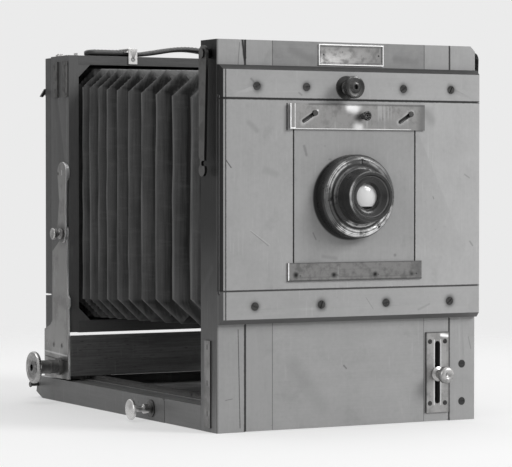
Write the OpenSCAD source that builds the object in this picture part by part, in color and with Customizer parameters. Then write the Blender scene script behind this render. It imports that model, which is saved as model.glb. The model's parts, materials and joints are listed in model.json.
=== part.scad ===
// Tailboard camera of polished wood with brass fittings, for large glass plates.
// X runs to the right as seen from the front, Y towards the back and Z up.
// The origin is on the axis of the tripod bush, level with the underside of the bed.

/* [Front standard] */
// Width over the two stiles
front_w = 280; // [260:1:300]
// Height of the standard
front_h = 359; // [350:1:370]
// Depth of the standard from front to back
front_d = 32; // [28:1:40]
// Width of each stile
stile_w = 29; // [24:1:32]
// Thickness of the rising board
board_t = 10; // [8:0.5:12]
// Width of the clamp strips that end the rising board
clamp_w = 28; // [26:1:32]
// Height of the bottom rail
bottom_rail_h = 95; // [90:1:100]
// Height of the top rail
top_rail_h = 30; // [26:1:34]
// Corner taken off the top of the right stile
corner_cut = 5; // [3:0.5:8]
// Distance of the lens axis below the top of the standard
lens_drop = 143.5; // [140:0.5:147]

/* [Cross front] */
// Height of the sliding panel
panel_h = 175; // [172:1:178]
// Thickness of the sliding panel and of the cleats that hold it
panel_t = 10; // [9:0.5:12]
// Height of each cleat at its face
cleat_h = 26; // [24:1:28]
// Width of the bevel round the panel and the cleats
bevel_w = 4.5; // [3:0.5:5]
// Depth of that bevel
bevel_d = 6; // [4:0.5:7]
// Height of the tongues on the panel
tongue_h = 3; // [2:0.5:4]
// Thickness of the tongues
tongue_t = 3; // [2:0.5:4]
// Width of the removable lens board
lens_board_w = 131; // [124:1:134]
// Thickness of the lens board
lens_board_t = 6; // [5:0.5:7]
// Wood beside the light opening, between it and the clamp strips
opening_edge = 7.7; // [5:0.1:12]
// Height of the light openings
opening_h = 110; // [100:1:116]
// Thickness of the sheet brass of plates and strips
sheet_t = 1.5; // [1:0.1:2]
// Width of the catch plate over the lens board
catch_w = 147; // [142:1:152]
// Height of the catch plate
catch_h = 24; // [23:0.5:26]
// Length of the diagonal slots in the catch plate
catch_slot_l = 17; // [14:1:19]
// Diameter of the pins in those slots
catch_pin_d = 3.2; // [2.5:0.1:4]
// Length of the brass strip under the lens board
strip_l = 145; // [138:1:150]
// Height of that strip
strip_h = 17; // [15:1:19]

/* [Lens] */
// Diameter of the flange
flange_d = 78; // [74:1:84]
// Thickness of the flange
flange_t = 14; // [12:0.5:17]
// Diameter of the lens barrel in front of the flange
barrel_d = 58; // [54:1:60]
// Diameter of the front rim
rim_d = 47; // [44:1:50]
// How far the rim stands in front of the flange
rim_out = 20; // [16:1:26]
// Diameter of the front glass
glass_d = 23; // [20:1:26]
// Distance of the lens axis to the left of the middle
lens_left = 2.5; // [0:0.5:4]

/* [Knobs and nuts] */
// Diameter of the head of the clamp knob on the upper cleat
clamp_knob_d = 21; // [18:1:22]
// How far that knob stands out of its washer
clamp_knob_l = 17; // [14:1:22]
// Diameter of the head of the rise lock nut
rise_nut_d = 16.5; // [14:0.5:18]
// How far the rise lock nut stands out of its plate
rise_nut_l = 19; // [15:1:23]
// Diameter of the studs that the nuts run on
stud_d = 5; // [4:0.25:5.5]
// Diameter of the focusing knobs
focus_knob_d = 33; // [28:1:36]
// Thickness of the focusing knobs
focus_knob_t = 7; // [5:0.5:9]
// How far the shaft housings stand out of the cheek plates
housing_l = 25; // [18:1:30]
// Diameter of the shaft housings
housing_d = 14; // [12:0.5:16]

/* [Bed and tailboard] */
// Length of the fixed bed behind the standard
bed_l = 76; // [68:1:84]
// How far the folded tailboard ends below the top of the standard
fold_room = 51; // [35:1:60]
// Height of the side rails
rail_h = 23; // [20:0.5:23.5]
// Width of the side rails
rail_w = 18; // [14:0.5:20]
// Thickness of the floor boards
floor_t = 12; // [8:0.5:14]
// Width of the guide groove beside each rail
groove_w = 4; // [3:0.5:5]
// Width of the tracks that the carriage slides on
track_w = 23; // [20:1:26]
// Height of the top of the tracks
track_h = 24; // [22:0.5:26]
// Radius of the rounded end of the tailboard rails at the hinge
rule_r = 6; // [3:0.5:8]
// Radius of the hole for a 3/8 inch tripod screw
bush_r = 4; // [3.9:0.05:4.2]
// Diameter of the flange of the tripod bush
bush_d = 46; // [36:1:56]

/* [Carriage and rack] */
// Depth of the carriage from front to back
carriage_d = 65; // [62:1:70]
// Height of the top of the carriage
carriage_top = 70; // [66:0.5:71]
// Width of the runner blocks at the ends of the carriage
block_w = 50; // [48:1:56]
// Thickness of the front and rear boards of the carriage
carriage_t = 10; // [8:0.5:12]
// Number of teeth of each pinion
pinion_teeth = 20; // [18:1:21]
// Pitch of the teeth as a module
tooth_m = 1.05; // [1:0.01:1.1]
// Thickness of the pinions along the shaft
pinion_t = 7; // [5:0.5:8]
// Diameter of the focusing shaft
shaft_d = 7; // [6:0.5:8]
// Clearance of a shaft in its bore
run = 0.06; // [0.03:0.01:0.1]
// Gap between pieces that slide on each other
slip = 0.3; // [0.2:0.05:0.4]

/* [Rear standard] */
// Distance from the carriage to the end of the tailboard as set
tail_room = 23; // [20:1:40]
// How far each side of the rear frame stands in from the side of the bed
rear_inset = 1; // [0.5:0.1:3]
// Thickness of the side walls of the rear frame
rear_wall = 11; // [9:0.5:13]
// Thickness of the top wall of the rear frame
rear_top_t = 9.5; // [8:0.5:11]
// Thickness of the bottom wall of the rear frame
rear_bottom_t = 12; // [10:0.5:13]
// Depth of the rear frame
rear_d = 46; // [40:1:50]
// Gap between the carriage and the rear frame
swing_gap = 3.2; // [3:0.1:4]
// Height of the swing pivots
pivot_z = 175; // [165:1:185]
// Thickness of the frame that holds the focusing screen
screen_t = 14.5; // [12:0.5:16]
// Height of the fixed ledge under the focusing screen
ledge_h = 36; // [30:1:40]
// Thickness of the focusing screen
screen_glass_t = 3; // [2:0.5:4]
// Width of the wood round the focusing screen
screen_border = 28; // [22:1:34]
// Legs of the corner blocks in the rear frame
block_leg = 13; // [10:0.5:15]

/* [Bellows] */
// Number of outward folds
folds = 13; // [11:1:15]
// Each pitch as a share of the one in front of it
fold_ratio = 0.905; // [0.9:0.005:0.97]
// How far the front end of the bellows reaches behind the rails
rail_lap = 3; // [2:0.5:5]
// How far it reaches behind the stiles
stile_lap = 5; // [3:0.5:7]
// Room between the rear end of the bellows and the side walls of the rear frame
side_room = 3.5; // [2.5:0.5:6]
// Room between that end and the top and bottom walls
top_room = 2.15; // [1.8:0.05:4]
// Width of the cloth from one crease to the next
pleat_w = 23; // [21:0.5:25]
// Width of the cut-off corners at the front
corner_w_front = 21; // [18:0.5:24]
// Height of the cut-off corners at the front
corner_h_front = 28.5; // [24:0.5:32]
// Width of the cut-off corners at the rear
corner_w_rear = 16.5; // [14:0.5:20]
// Height of the cut-off corners at the rear
corner_h_rear = 18.5; // [15:0.5:24]
// Thickness of the cloth and its lining
cloth_t = 1.2; // [1:0.1:1.6]

/* [Handle] */
// Length of the leather handle
handle_l = 230; // [210:1:240]
// Width of the strap
strap_w = 18; // [14:1:20]
// Thickness of the strap
strap_t = 6; // [5:0.5:7]
// Distance between the middles of the two staples
staple_span = 133; // [120:1:150]
// How high the middle of the strap arches
arch_h = 6.2; // [5:0.1:9]
// Width of the staples
staple_w = 10; // [8:0.5:12]

/* [Hidden] */

// Colours
wood = "#a9a9a7";
wood_dark = "#6f6f6d";
wood_inner = "#3c3c3b";
brass = "#b9b7b0";
steel = "#5a5a5a";
leather = "#4a4a4a";
cloth = "#474747";
glass = "#dfe3e3";

// Planes along Y
front_y = -(front_d + bed_l / 2);
back_y = front_y + front_d;
hinge_y = back_y + bed_l;
tail_y = hinge_y + front_h - fold_room;
panel_y = front_y - panel_t;
carriage_y = tail_y - tail_room - carriage_d;
rear_y = carriage_y + 4;
plate_y = rear_y + rear_d;
pinion_y = carriage_y + 22;
pivot_y = rear_y + 9;
shut_y = 0.5;

// Heights of the cross front, hung below the bare plate at the top of the rising board
plate_size = [70, 19.5];
plate_drop = 2;
plate_gap = 1.7;
lens_z = front_h - lens_drop;
upper_cleat_z = front_h - plate_drop - plate_size[1] - plate_gap - bevel_w - cleat_h - slip;
panel_z = upper_cleat_z - panel_h;
lower_cleat_z = panel_z - cleat_h;
strip_up = 7.5;
strip_lap = 8;
strip_z = panel_z + strip_up;
lens_board_z = strip_z + strip_h - strip_lap;
catch_gap = 3.5;
catch_lap = 3.5;
catch_z = upper_cleat_z - catch_gap - catch_h;
lens_board_h = catch_z + catch_lap - lens_board_z;
catch_x = 2.2;
catch_angle = 32;

// Plate and slot of the rise lock, in the room under the lower cleat
rise_foot = 8.5;
rise_gap = 13.7;
rise_end = 8.5;
rise_plate = [26, lower_cleat_z - slip - bevel_w - rise_gap - rise_foot];
rise_middle = rise_foot + rise_plate[1] / 2;
rise_z = rise_middle - 1.5;
rise_x = front_w / 2 - stile_w - clamp_w / 2;

// Width of the rising board between its clamp strips, and the screws of the cleats
board_edge = front_w / 2 - stile_w - slip;
field_w = 2 * (board_edge - clamp_w);
opening_w = field_w - 2 * opening_edge;
cleat_screw_up = cleat_h / 2 - 1.5;
outer_screw = board_edge - 5.7;
cleat_screws_upper = [1 - outer_screw, -52, 53, outer_screw + 1];
cleat_screws_lower = [-1 - outer_screw, -36, 34, outer_screw];
knob_x = -9.5;
knob_z = upper_cleat_z + cleat_screw_up;

// Bed
track_x = front_w / 2 - rail_w - groove_w - track_w;
rack_w = 8;
rack_x = track_x + track_w / 2;
rack_body = 1.2;
pinion_r = tooth_m * pinion_teeth / 2;
rack_pitch = PI * tooth_m;
rack_pitch_z = track_h + rack_body + 1.25 * tooth_m;
pinion_z = rack_pitch_z + pinion_r;
end_rail_d = 24;
leg_x = front_w / 2 - rail_w;

// Rear standard
rear_z = carriage_top + swing_gap;
side_x = front_w / 2 - rear_inset;
rear_inner = side_x - rear_wall;
cheek_t = 2.2;
cheek_x = side_x + 0.3;
link_x = cheek_x + cheek_t + slip;
link_t = 2;
screen_z = rear_z + ledge_h + 1.8;
screen_y = plate_y + slip;
screen_top = front_h - 1;
screen_hinge_y = screen_y + screen_t + 3;
head_d = 7.6;
head_h = 1.4;
small_head_d = 4.6;

// A block given by its lowest corner and its size
module block(x, y, z, w, d, h) {
  translate([x, y, z]) cube([w, d, h]);
}

// The same piece on the left and on the right
module both_sides() {
  children();
  mirror([1, 0, 0]) children();
}

// Turns a piece that is drawn standing on Z so that it stands out of a face
module on_front(x, y, z) {
  translate([x, y, z]) rotate([90, 0, 0]) children();
}
module on_left(x, y, z) {
  translate([x, y, z]) rotate([0, -90, 0]) children();
}

// Countersunk wood screw, its head flush with Z = 0, and the hole it sits in
module screw(d = head_d, l = 9) {
  difference() {
    translate([0, 0, -head_h]) cylinder(h = head_h, d = d, $fn = 32);
    translate([-d, -0.5, -0.7]) cube([2 * d, 1, 1]);
  }
  translate([0, 0, -l]) cylinder(h = l - head_h, d = d * 0.42, $fn = 24);
}
module screw_hole(d = head_d, l = 9) {
  translate([0, 0, -head_h]) cylinder(h = head_h + 1, d = d, $fn = 32);
  translate([0, 0, -l]) cylinder(h = l, d = d * 0.42, $fn = 24);
}

// A brass nut or knob with a turned head, standing on Z = 0
module turned_knob(d, l, foot_d, hole) {
  rotate_extrude($fn = 48) polygon([
    [0, 0], [foot_d / 2, 0], [foot_d / 2, 1.5], [foot_d * 0.3, 3], [foot_d * 0.28, l * 0.45],
    [d * 0.36, l * 0.58], [d / 2 - 0.8, l * 0.62], [d / 2, l * 0.7], [d / 2, l * 0.86],
    [d / 2 - 1.2, l], [d * 0.34, l], [d * 0.2, l - 1.6], [hole, l - 1.6], [hole, l - 3], [0, l - 3]
  ]);
}

// Front standard

// Cuts for the brass strip's screws in the side of a stile, seen on the left
strip_y = front_y + 16.5;
strip_w = 11.5;
strip_len = 80;
strip_foot = 4;
strip_screw_z = [strip_foot + 13, strip_foot + 41, strip_foot + 74];
hook_pivot = [front_y + 13, front_h - 13];
hook_reach = 100;
hook_plane = 5.5;
hook_t = 2.5;

module stile() {
  difference() {
    block(-front_w / 2, front_y, 0, stile_w, front_d, front_h);
    for (z = strip_screw_z) on_left(-front_w / 2, strip_y, z) screw_hole(5, 10);
    on_left(-front_w / 2, hook_pivot[0], hook_pivot[1]) translate([0, 0, -14])
      cylinder(h = 15, d = stud_d + 2 * run, $fn = 32);
  }
}

module front_stile_left() {
  color(wood) stile();
}

module front_stile_right() {
  color(wood) difference() {
    mirror([1, 0, 0]) stile();
    translate([front_w / 2, front_y - 1, front_h]) rotate([0, 45, 0])
      cube([corner_cut * sqrt(2), 2 * front_d + 4, corner_cut * sqrt(2)], center = true);
    for (z = stile_screw_z) on_front(front_w / 2 - stile_w / 2, front_y, z) screw_hole(head_d, 18);
  }
}
stile_screw_z = [18, 54];

rail_y = front_y + board_t + slip;
rail_d = front_d - board_t - slip;
inner_w = front_w - 2 * stile_w;

// Fillets in the corners of the opening, for the cut-off corners of the bellows
corner_fillet = [corner_w_front - 4, corner_h_front - 5];
module corner_fillets(z, up) {
  both_sides() translate([0, back_y, z]) mirror([0, 0, up ? 0 : 1]) rotate([90, 0, 0])
    linear_extrude(6) polygon([
      [-inner_w / 2, 0], [-inner_w / 2 + corner_fillet[0], 0], [-inner_w / 2, corner_fillet[1]]
    ]);
}

module front_top_rail() {
  color(wood_dark) {
    block(-inner_w / 2, rail_y, front_h - top_rail_h, inner_w, rail_d, top_rail_h);
    corner_fillets(front_h - top_rail_h, false);
  }
}

module front_bottom_rail() {
  color(wood_dark) difference() {
    union() {
      block(-inner_w / 2, rail_y, 0, inner_w, rail_d, bottom_rail_h);
      corner_fillets(bottom_rail_h, true);
    }
    on_front(rise_x, rail_y, rise_z) translate([0, 0, -14]) cylinder(h = 15, d = stud_d, $fn = 32);
  }
}

module side_strips() {
  color(brass) both_sides() {
    difference() {
      block(-front_w / 2 - sheet_t, strip_y - strip_w / 2, strip_foot, sheet_t, strip_w, strip_len);
      for (z = strip_screw_z) on_left(-front_w / 2 - sheet_t, strip_y, z) screw_hole(5, 10);
    }
    for (z = strip_screw_z) on_left(-front_w / 2 - sheet_t, strip_y, z) screw(5, 9);
  }
  color(steel) for (z = stile_screw_z) on_front(front_w / 2 - stile_w / 2, front_y, z) screw(head_d, 16);
}

// Bed and tailboard

module bed_floor() {
  color(wood_inner) difference() {
    block(-leg_x, back_y, 0, 2 * leg_x, bed_l - shut_y / 2, floor_t);
    translate([0, 0, -1]) cylinder(h = 4, d = bush_d, $fn = 64);
    cylinder(h = floor_t + 1, d = bush_d * 0.45, $fn = 48);
  }
}

module bed_rails() {
  color(wood_dark) both_sides()
    block(-front_w / 2, back_y, 0, rail_w, bed_l - shut_y / 2, rail_h);
}

module tripod_bush() {
  color(brass) difference() {
    union() {
      cylinder(h = 3, d = bush_d, $fn = 64);
      cylinder(h = floor_t, d = bush_d * 0.45, $fn = 48);
    }
    translate([0, 0, -1]) cylinder(h = floor_t + 2, r = bush_r, $fn = 48);
    for (a = [45, 135, 225, 315]) rotate([0, 0, a]) translate([bush_d * 0.37, 0, -1])
      cylinder(h = 5, d = 4, $fn = 24);
  }
}

tail_start = hinge_y + shut_y / 2;

module tailboard_floor() {
  color(wood_inner)
    block(-leg_x, tail_start, 0, 2 * leg_x, tail_y - end_rail_d - tail_start, floor_t);
}

// The studs lie where the hooks reach them once the tailboard is folded up
hinge_x = 62;
leaf_w = 44;
leaf_d = 20;
leaf_t = 1.6;
knuckle_d = 5;
fold_z = floor_t + knuckle_d / 2;
stud_z = rail_h - 9;
shut_stud_y = hinge_y - (stud_z - fold_z);
hook_drop = sqrt(pow(hook_reach, 2) - pow(shut_stud_y - hook_pivot[0], 2));
stud_y = hinge_y + hook_pivot[1] - hook_drop - fold_z;
lock_y = hinge_y + 28.5;
lock_z = rail_h / 2;

module tailboard_rails() {
  color(wood_dark) both_sides() difference() {
    translate([-front_w / 2, 0, 0]) rotate([90, 0, 90]) linear_extrude(rail_w) polygon(concat(
      [[tail_start, 0], [tail_y - 16, 0], [tail_y, 6], [tail_y - 4, rail_h]],
      [for (a = [0:15:90])
        [tail_start + rule_r * (1 - sin(a)), rail_h - rule_r * (1 - cos(a))]]
    ));
    on_left(-front_w / 2, lock_y, lock_z) translate([0, 0, -12])
      cylinder(h = 14, d = stud_d + 2 * run, $fn = 32);
    on_left(-front_w / 2, stud_y, stud_z) translate([0, 0, -8]) cylinder(h = 9, d = 4, $fn = 24);
  }
}

module tailboard_end_rail() {
  color(wood_dark) block(-leg_x, tail_y - end_rail_d, 0, 2 * leg_x, end_rail_d - 2, rail_h - 1);
}

module tailboard_fittings() {
  color(steel) both_sides() {
    on_left(-front_w / 2, stud_y, stud_z) translate([0, 0, -8]) {
      cylinder(h = 8 + hook_plane + hook_t + 0.8, d = 4, $fn = 24);
      translate([0, 0, 8 + hook_plane + hook_t + 0.8]) cylinder(h = 1.2, d = 6, $fn = 24);
    }
    on_left(-front_w / 2, lock_y, lock_z) difference() {
      cylinder(h = 1.2, d = 17, $fn = 48);
      translate([0, 0, -1]) cylinder(h = 4, d = stud_d + 2 * run, $fn = 32);
    }
  }
}

track_start = back_y;
track_end = tail_y - end_rail_d;

module tracks() {
  color(wood) both_sides() for (run_y = [[track_start, hinge_y - shut_y / 2],
                                         [tail_start, track_end]])
    block(track_x, run_y[0], floor_t, track_w, run_y[1] - run_y[0], track_h - floor_t);
}

// Rack teeth cut in the top of a brass bar, one tooth centred under the pinion
rack_from = back_y + 3;
rack_to = track_end - 3;
function rack_tooth(y) = [
  [y - rack_pitch / 2, track_h + rack_body],
  [y - rack_pitch * 0.34, track_h + rack_body],
  [y - rack_pitch * 0.11, rack_pitch_z + tooth_m * 0.9],
  [y + rack_pitch * 0.11, rack_pitch_z + tooth_m * 0.9],
  [y + rack_pitch * 0.34, track_h + rack_body]
];
module rack_bar(first, last) {
  translate([rack_x - rack_w / 2, 0, 0]) rotate([90, 0, 90]) linear_extrude(rack_w)
    polygon(concat(
      [[pinion_y + (first - 0.5) * rack_pitch, track_h]],
      [for (i = [first:last]) each rack_tooth(pinion_y + i * rack_pitch)],
      [[pinion_y + (last + 0.5) * rack_pitch, track_h + rack_body],
       [pinion_y + (last + 0.5) * rack_pitch, track_h]]
    ));
}
module racks() {
  color(brass) both_sides() {
    rack_bar(ceil((rack_from - pinion_y) / rack_pitch), floor((hinge_y - pinion_y) / rack_pitch - 0.6));
    rack_bar(ceil((hinge_y - pinion_y) / rack_pitch + 0.6), floor((rack_to - pinion_y) / rack_pitch));
  }
}

// Two butt hinges on the floor, their knuckles on the line that the tailboard folds about
module tailboard_hinges() {
  color(brass) for (x = [-hinge_x, hinge_x]) translate([x, hinge_y, 0]) {
    difference() {
      union() {
        block(-leaf_w / 2, -leaf_d, floor_t, leaf_w, leaf_d - knuckle_d / 2 - slip, leaf_t);
        for (k = [-1, 1]) block(k * leaf_w / 3 - leaf_w / 6, -knuckle_d / 2 - slip, floor_t,
                                leaf_w / 3 - slip, knuckle_d / 2 + slip, leaf_t);
        for (k = [-1, 1]) translate([k * leaf_w / 3 - leaf_w / 6, 0, fold_z]) rotate([0, 90, 0])
          cylinder(h = leaf_w / 3 - slip, d = knuckle_d, $fn = 32);
      }
      translate([-leaf_w, 0, fold_z]) rotate([0, 90, 0]) cylinder(h = 2 * leaf_w, d = 2.6, $fn = 24);
    }
    difference() {
      union() {
        block(-leaf_w / 2, knuckle_d / 2 + slip, floor_t, leaf_w, leaf_d - knuckle_d / 2, leaf_t);
        block(-leaf_w / 6, 0, floor_t, leaf_w / 3 - slip, knuckle_d / 2 + slip, leaf_t);
        translate([-leaf_w / 6, 0, fold_z]) rotate([0, 90, 0])
          cylinder(h = leaf_w / 3 - slip, d = knuckle_d, $fn = 32);
      }
      translate([-leaf_w, 0, fold_z]) rotate([0, 90, 0]) cylinder(h = 2 * leaf_w, d = 2.6, $fn = 24);
    }
    translate([-leaf_w / 2, 0, fold_z]) rotate([0, 90, 0]) cylinder(h = leaf_w - slip, d = 2.5, $fn = 24);
  }
}

// Rising front

module rise_slot(width) {
  reach = rise_plate[1] / 2 - rise_end - width / 2;
  hull() for (s = [-reach, reach]) translate([rise_x, 0, rise_middle + s]) rotate([90, 0, 0])
    cylinder(h = 4 * board_t, d = width, center = true, $fn = 32);
}

module rise_lock_stud() {
  color(brass) on_front(rise_x, rail_y, rise_z) translate([0, 0, -14])
    cylinder(h = 14 + board_t + slip + rise_nut_l - 6, d = stud_d, $fn = 32);
}

module cleat_screw_cuts(inside) {
  for (x = cleat_screws_upper) if ((abs(x) < field_w / 2) == inside)
    on_front(x, panel_y, knob_z) screw_hole(head_d, panel_t + 7);
  for (x = cleat_screws_lower) if ((abs(x) < field_w / 2) == inside)
    on_front(x, panel_y, lower_cleat_z + cleat_screw_up) screw_hole(head_d, panel_t + 7);
}

module clamp_knob_bore() {
  on_front(knob_x, panel_y, knob_z) translate([0, 0, -panel_t - board_t + 2])
    cylinder(h = panel_t + board_t, d = stud_d + 2 * run, $fn = 32);
}

module rising_board() {
  color(wood) difference() {
    block(-field_w / 2, front_y, shut_y, field_w, board_t, front_h - shut_y);
    block(-opening_w / 2, front_y - 1, lens_z - opening_h / 2, opening_w, board_t + 2, opening_h);
    cleat_screw_cuts(true);
    clamp_knob_bore();
  }
}

module board_clamps() {
  color(wood) difference() {
    for (x = [-board_edge, field_w / 2])
      block(x, front_y, shut_y, clamp_w, board_t, front_h - shut_y);
    cleat_screw_cuts(false);
    translate([0, front_y, 0]) rise_slot(stud_d + 3);
    for (c = rise_corners) on_front(c[0], front_y - sheet_t, c[1]) screw_hole(small_head_d, 8);
  }
}

rise_corners = [for (x = [-1, 1], z = [-1, 1])
  [rise_x + x * (rise_plate[0] / 2 - 4.5), rise_middle + z * (rise_plate[1] / 2 - 9)]];

module rise_slot_plate() {
  color(brass) difference() {
    block(rise_x - rise_plate[0] / 2, front_y - sheet_t, rise_foot,
          rise_plate[0], sheet_t, rise_plate[1]);
    translate([0, front_y, 0]) rise_slot(stud_d + 0.8);
    for (c = rise_corners) on_front(c[0], front_y - sheet_t, c[1]) screw_hole(small_head_d, 8);
  }
}

// Bevelled bar: its section along Z, the bevel above or below its face, and bevelled ends
module cleat_body(face_z, bevel_up) {
  top = face_z + cleat_h;
  difference() {
    translate([-front_w / 2, 0, 0]) rotate([90, 0, 90]) linear_extrude(front_w) polygon(
      bevel_up
      ? [[front_y, face_z], [panel_y, face_z], [panel_y, top], [panel_y + bevel_d, top + bevel_w],
         [front_y, top + bevel_w]]
      : [[front_y, top], [panel_y, top], [panel_y, face_z], [panel_y + bevel_d, face_z - bevel_w],
         [front_y, face_z - bevel_w]]
    );
    end_bevels(face_z - 2 * bevel_w, cleat_h + 4 * bevel_w);
  }
}

// Takes the bevels off the left and right ends of a raised piece
module end_bevels(z, h) {
  for (s = [-1, 1]) translate([0, 0, z]) linear_extrude(h) polygon([
    [s * front_w / 2, panel_y + bevel_d], [s * (front_w / 2 + 1), panel_y + bevel_d],
    [s * (front_w / 2 + 1), panel_y - 1], [s * (front_w / 2 - bevel_w), panel_y - 1],
    [s * (front_w / 2 - bevel_w), panel_y]
  ]);
}

tongue_y = front_y - tongue_t - 1.5;

module tongue_groove(z) {
  block(-front_w, tongue_y - slip, z - slip, 2 * front_w, tongue_t + 2 * slip, tongue_h + 2 * slip);
}

module upper_cleat() {
  color(wood) difference() {
    cleat_body(upper_cleat_z + slip, true);
    tongue_groove(upper_cleat_z);
    for (x = cleat_screws_upper) on_front(x, panel_y, knob_z) screw_hole(head_d, panel_t + 7);
    clamp_knob_bore();
  }
}

module lower_cleat() {
  color(wood) difference() {
    cleat_body(lower_cleat_z - slip, false);
    tongue_groove(panel_z - tongue_h);
    for (x = cleat_screws_lower) on_front(x, panel_y, lower_cleat_z + cleat_screw_up)
      screw_hole(head_d, panel_t + 7);
  }
}

// Bare plate with a raised border
plate_x = 1.2;
plate_border = 1.5;
module top_plate() {
  foot = front_h - plate_drop - plate_size[1];
  left = plate_x - plate_size[0] / 2;
  color(brass) difference() {
    block(left, front_y - 1.4, foot, plate_size[0], 1.4, plate_size[1]);
    block(left + plate_border, front_y - 2, foot + plate_border,
          plate_size[0] - 2 * plate_border, 1, plate_size[1] - 2 * plate_border);
  }
}

module front_screws() {
  color(steel) {
    for (x = cleat_screws_upper) on_front(x, panel_y, knob_z) screw(head_d, panel_t + 6);
    for (x = cleat_screws_lower) on_front(x, panel_y, lower_cleat_z + cleat_screw_up)
      screw(head_d, panel_t + 6);
    for (c = rise_corners) on_front(c[0], front_y - sheet_t, c[1]) screw(small_head_d, 7);
    clamp_washer();
  }
}

washer_d = clamp_knob_d + 1;
module clamp_washer() {
  on_front(knob_x, panel_y, knob_z) difference() {
    cylinder(h = 1, d = washer_d, $fn = 48);
    translate([0, 0, -1]) cylinder(h = 4, d = stud_d + 2 * run, $fn = 32);
  }
}

module clamp_knob() {
  color(brass) on_front(knob_x, panel_y - 1.1, knob_z) {
    turned_knob(clamp_knob_d, clamp_knob_l, 13, 1.6);
    translate([0, 0, -panel_t - board_t + 2]) cylinder(h = panel_t + board_t - 2, d = stud_d, $fn = 32);
  }
}

module rise_lock_nut() {
  color(brass) on_front(rise_x, front_y - sheet_t - slip, rise_z) difference() {
    turned_knob(rise_nut_d, rise_nut_l, 14, 1.2);
    translate([0, 0, -1]) cylinder(h = rise_nut_l - 3, d = stud_d + 2 * run, $fn = 32);
  }
}

// Sliding cross panel with its lens board

module cross_panel() {
  tunnel_w = opening_h + 2;
  color(wood) difference() {
    union() {
      difference() {
        block(-front_w / 2, panel_y, panel_z, front_w, panel_t - slip, panel_h);
        end_bevels(panel_z - 1, panel_h + 2);
      }
      block(-front_w / 2, tongue_y, panel_z - tongue_h + slip, front_w, tongue_t,
            panel_h + 2 * tongue_h - 2 * slip);
    }
    block(-lens_board_w / 2 - slip, panel_y - 1, lens_board_z - slip,
          lens_board_w + 2 * slip, lens_board_t + 1, lens_board_h + 2 * slip);
    block(-tunnel_w / 2, panel_y - 1, lens_z - opening_h / 2, tunnel_w, panel_t + 2, opening_h);
    for (p = catch_pin_at) on_front(p[0], panel_y, p[1]) translate([0, 0, -7])
      cylinder(h = 8, d = catch_pin_d, $fn = 24);
    for (x = strip_screw_x) on_front(x, panel_y - sheet_t, strip_screw_up) screw_hole(small_head_d, 8);
  }
}

strip_screw_x = [11.5 - strip_l / 2, -21, 23, strip_l / 2 - 7.5];
strip_screw_up = strip_z + 5;

module lens_board() {
  color(wood) difference() {
    block(-lens_board_w / 2, panel_y, lens_board_z, lens_board_w, lens_board_t, lens_board_h);
    on_front(-lens_left, panel_y, lens_z) translate([0, 0, -lens_board_t - 1])
      cylinder(h = lens_board_t + 2, d = barrel_d, $fn = 96);
  }
}

module lens_board_strip() {
  color(brass) {
    difference() {
      block(-strip_l / 2, panel_y - sheet_t, strip_z, strip_l, sheet_t, strip_h);
      for (x = strip_screw_x) on_front(x, panel_y - sheet_t, strip_screw_up) screw_hole(small_head_d, 8);
    }
    for (x = strip_screw_x) on_front(x, panel_y - sheet_t, strip_screw_up) screw(small_head_d, 7);
  }
}

// Pins at the upper right ends of the diagonal slots
pin_offset = (catch_slot_l - catch_pin_d) / 2;
catch_slot_x = 52;
catch_slot_z = catch_z + catch_h / 2 - 0.5;
catch_slot_at = [[catch_x - catch_slot_x, catch_slot_z], [catch_x + catch_slot_x, catch_slot_z]];
catch_pin_at = [for (c = catch_slot_at)
  [c[0] + pin_offset * cos(catch_angle), c[1] + pin_offset * sin(catch_angle)]];
catch_y = panel_y - slip;
catch_knob_x = catch_x + 5.5;
catch_knob_z = catch_z + catch_h / 2 + 1;
catch_lip = 7;
catch_lip_out = 2.4;

module catch_pins() {
  color(steel) for (p = catch_pin_at) on_front(p[0], panel_y, p[1]) {
    translate([0, 0, -7]) cylinder(h = 7 + 2 * slip + sheet_t + 0.1, d = catch_pin_d, $fn = 24);
    translate([0, 0, 2 * slip + sheet_t + 0.1]) cylinder(h = 0.9, d = catch_pin_d + 2.2, $fn = 24);
  }
}

module catch_plate() {
  color(brass) difference() {
    union() {
      block(catch_x - catch_w / 2 + catch_lip, catch_y - sheet_t, catch_z,
            catch_w - catch_lip, sheet_t, catch_h);
      translate([catch_x - catch_w / 2 + catch_lip, catch_y - sheet_t, catch_z]) linear_extrude(catch_h)
        polygon([[0, 0], [0, sheet_t], [-catch_lip, sheet_t - catch_lip_out], [-catch_lip, -catch_lip_out]]);
    }
    for (c = catch_slot_at) on_front(c[0], catch_y, c[1]) rotate([0, 0, catch_angle]) hull()
      for (s = [-pin_offset - slip, pin_offset + slip]) translate([s, 0, -4])
        cylinder(h = 8, d = catch_pin_d + 2 * slip, $fn = 32);
    on_front(catch_knob_x, catch_y, catch_knob_z) translate([0, 0, -1]) cylinder(h = 4, d = 4, $fn = 24);
  }
}

module catch_knob() {
  color(brass) on_front(catch_knob_x, catch_y, catch_knob_z) {
    cylinder(h = sheet_t, d = 4, $fn = 24);
    translate([0, 0, sheet_t]) turned_knob(9, 9, 6, 0.9);
  }
}

// Lens in its flange

module lens_flange() {
  r = flange_d / 2;
  color(steel) on_front(-lens_left, panel_y, lens_z) difference() {
    rotate_extrude($fn = 96) polygon([
      [barrel_d / 2, 0], [r, 0], [r, flange_t - 4.5], [r - 0.8, flange_t - 2.6],
      [r - 2.6, flange_t - 0.8], [r - 4.5, flange_t], [barrel_d / 2, flange_t]
    ]);
    for (a = flange_screw_at) rotate([0, 0, a]) translate([r - 6.5, 0, flange_t]) screw_hole(5, 8);
  }
  color(steel) on_front(-lens_left, panel_y, lens_z) for (a = flange_screw_at)
    rotate([0, 0, a]) translate([r - 6.5, 0, flange_t - 0.3]) screw(5, 7);
}
flange_screw_at = [86, 186, 306];

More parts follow.
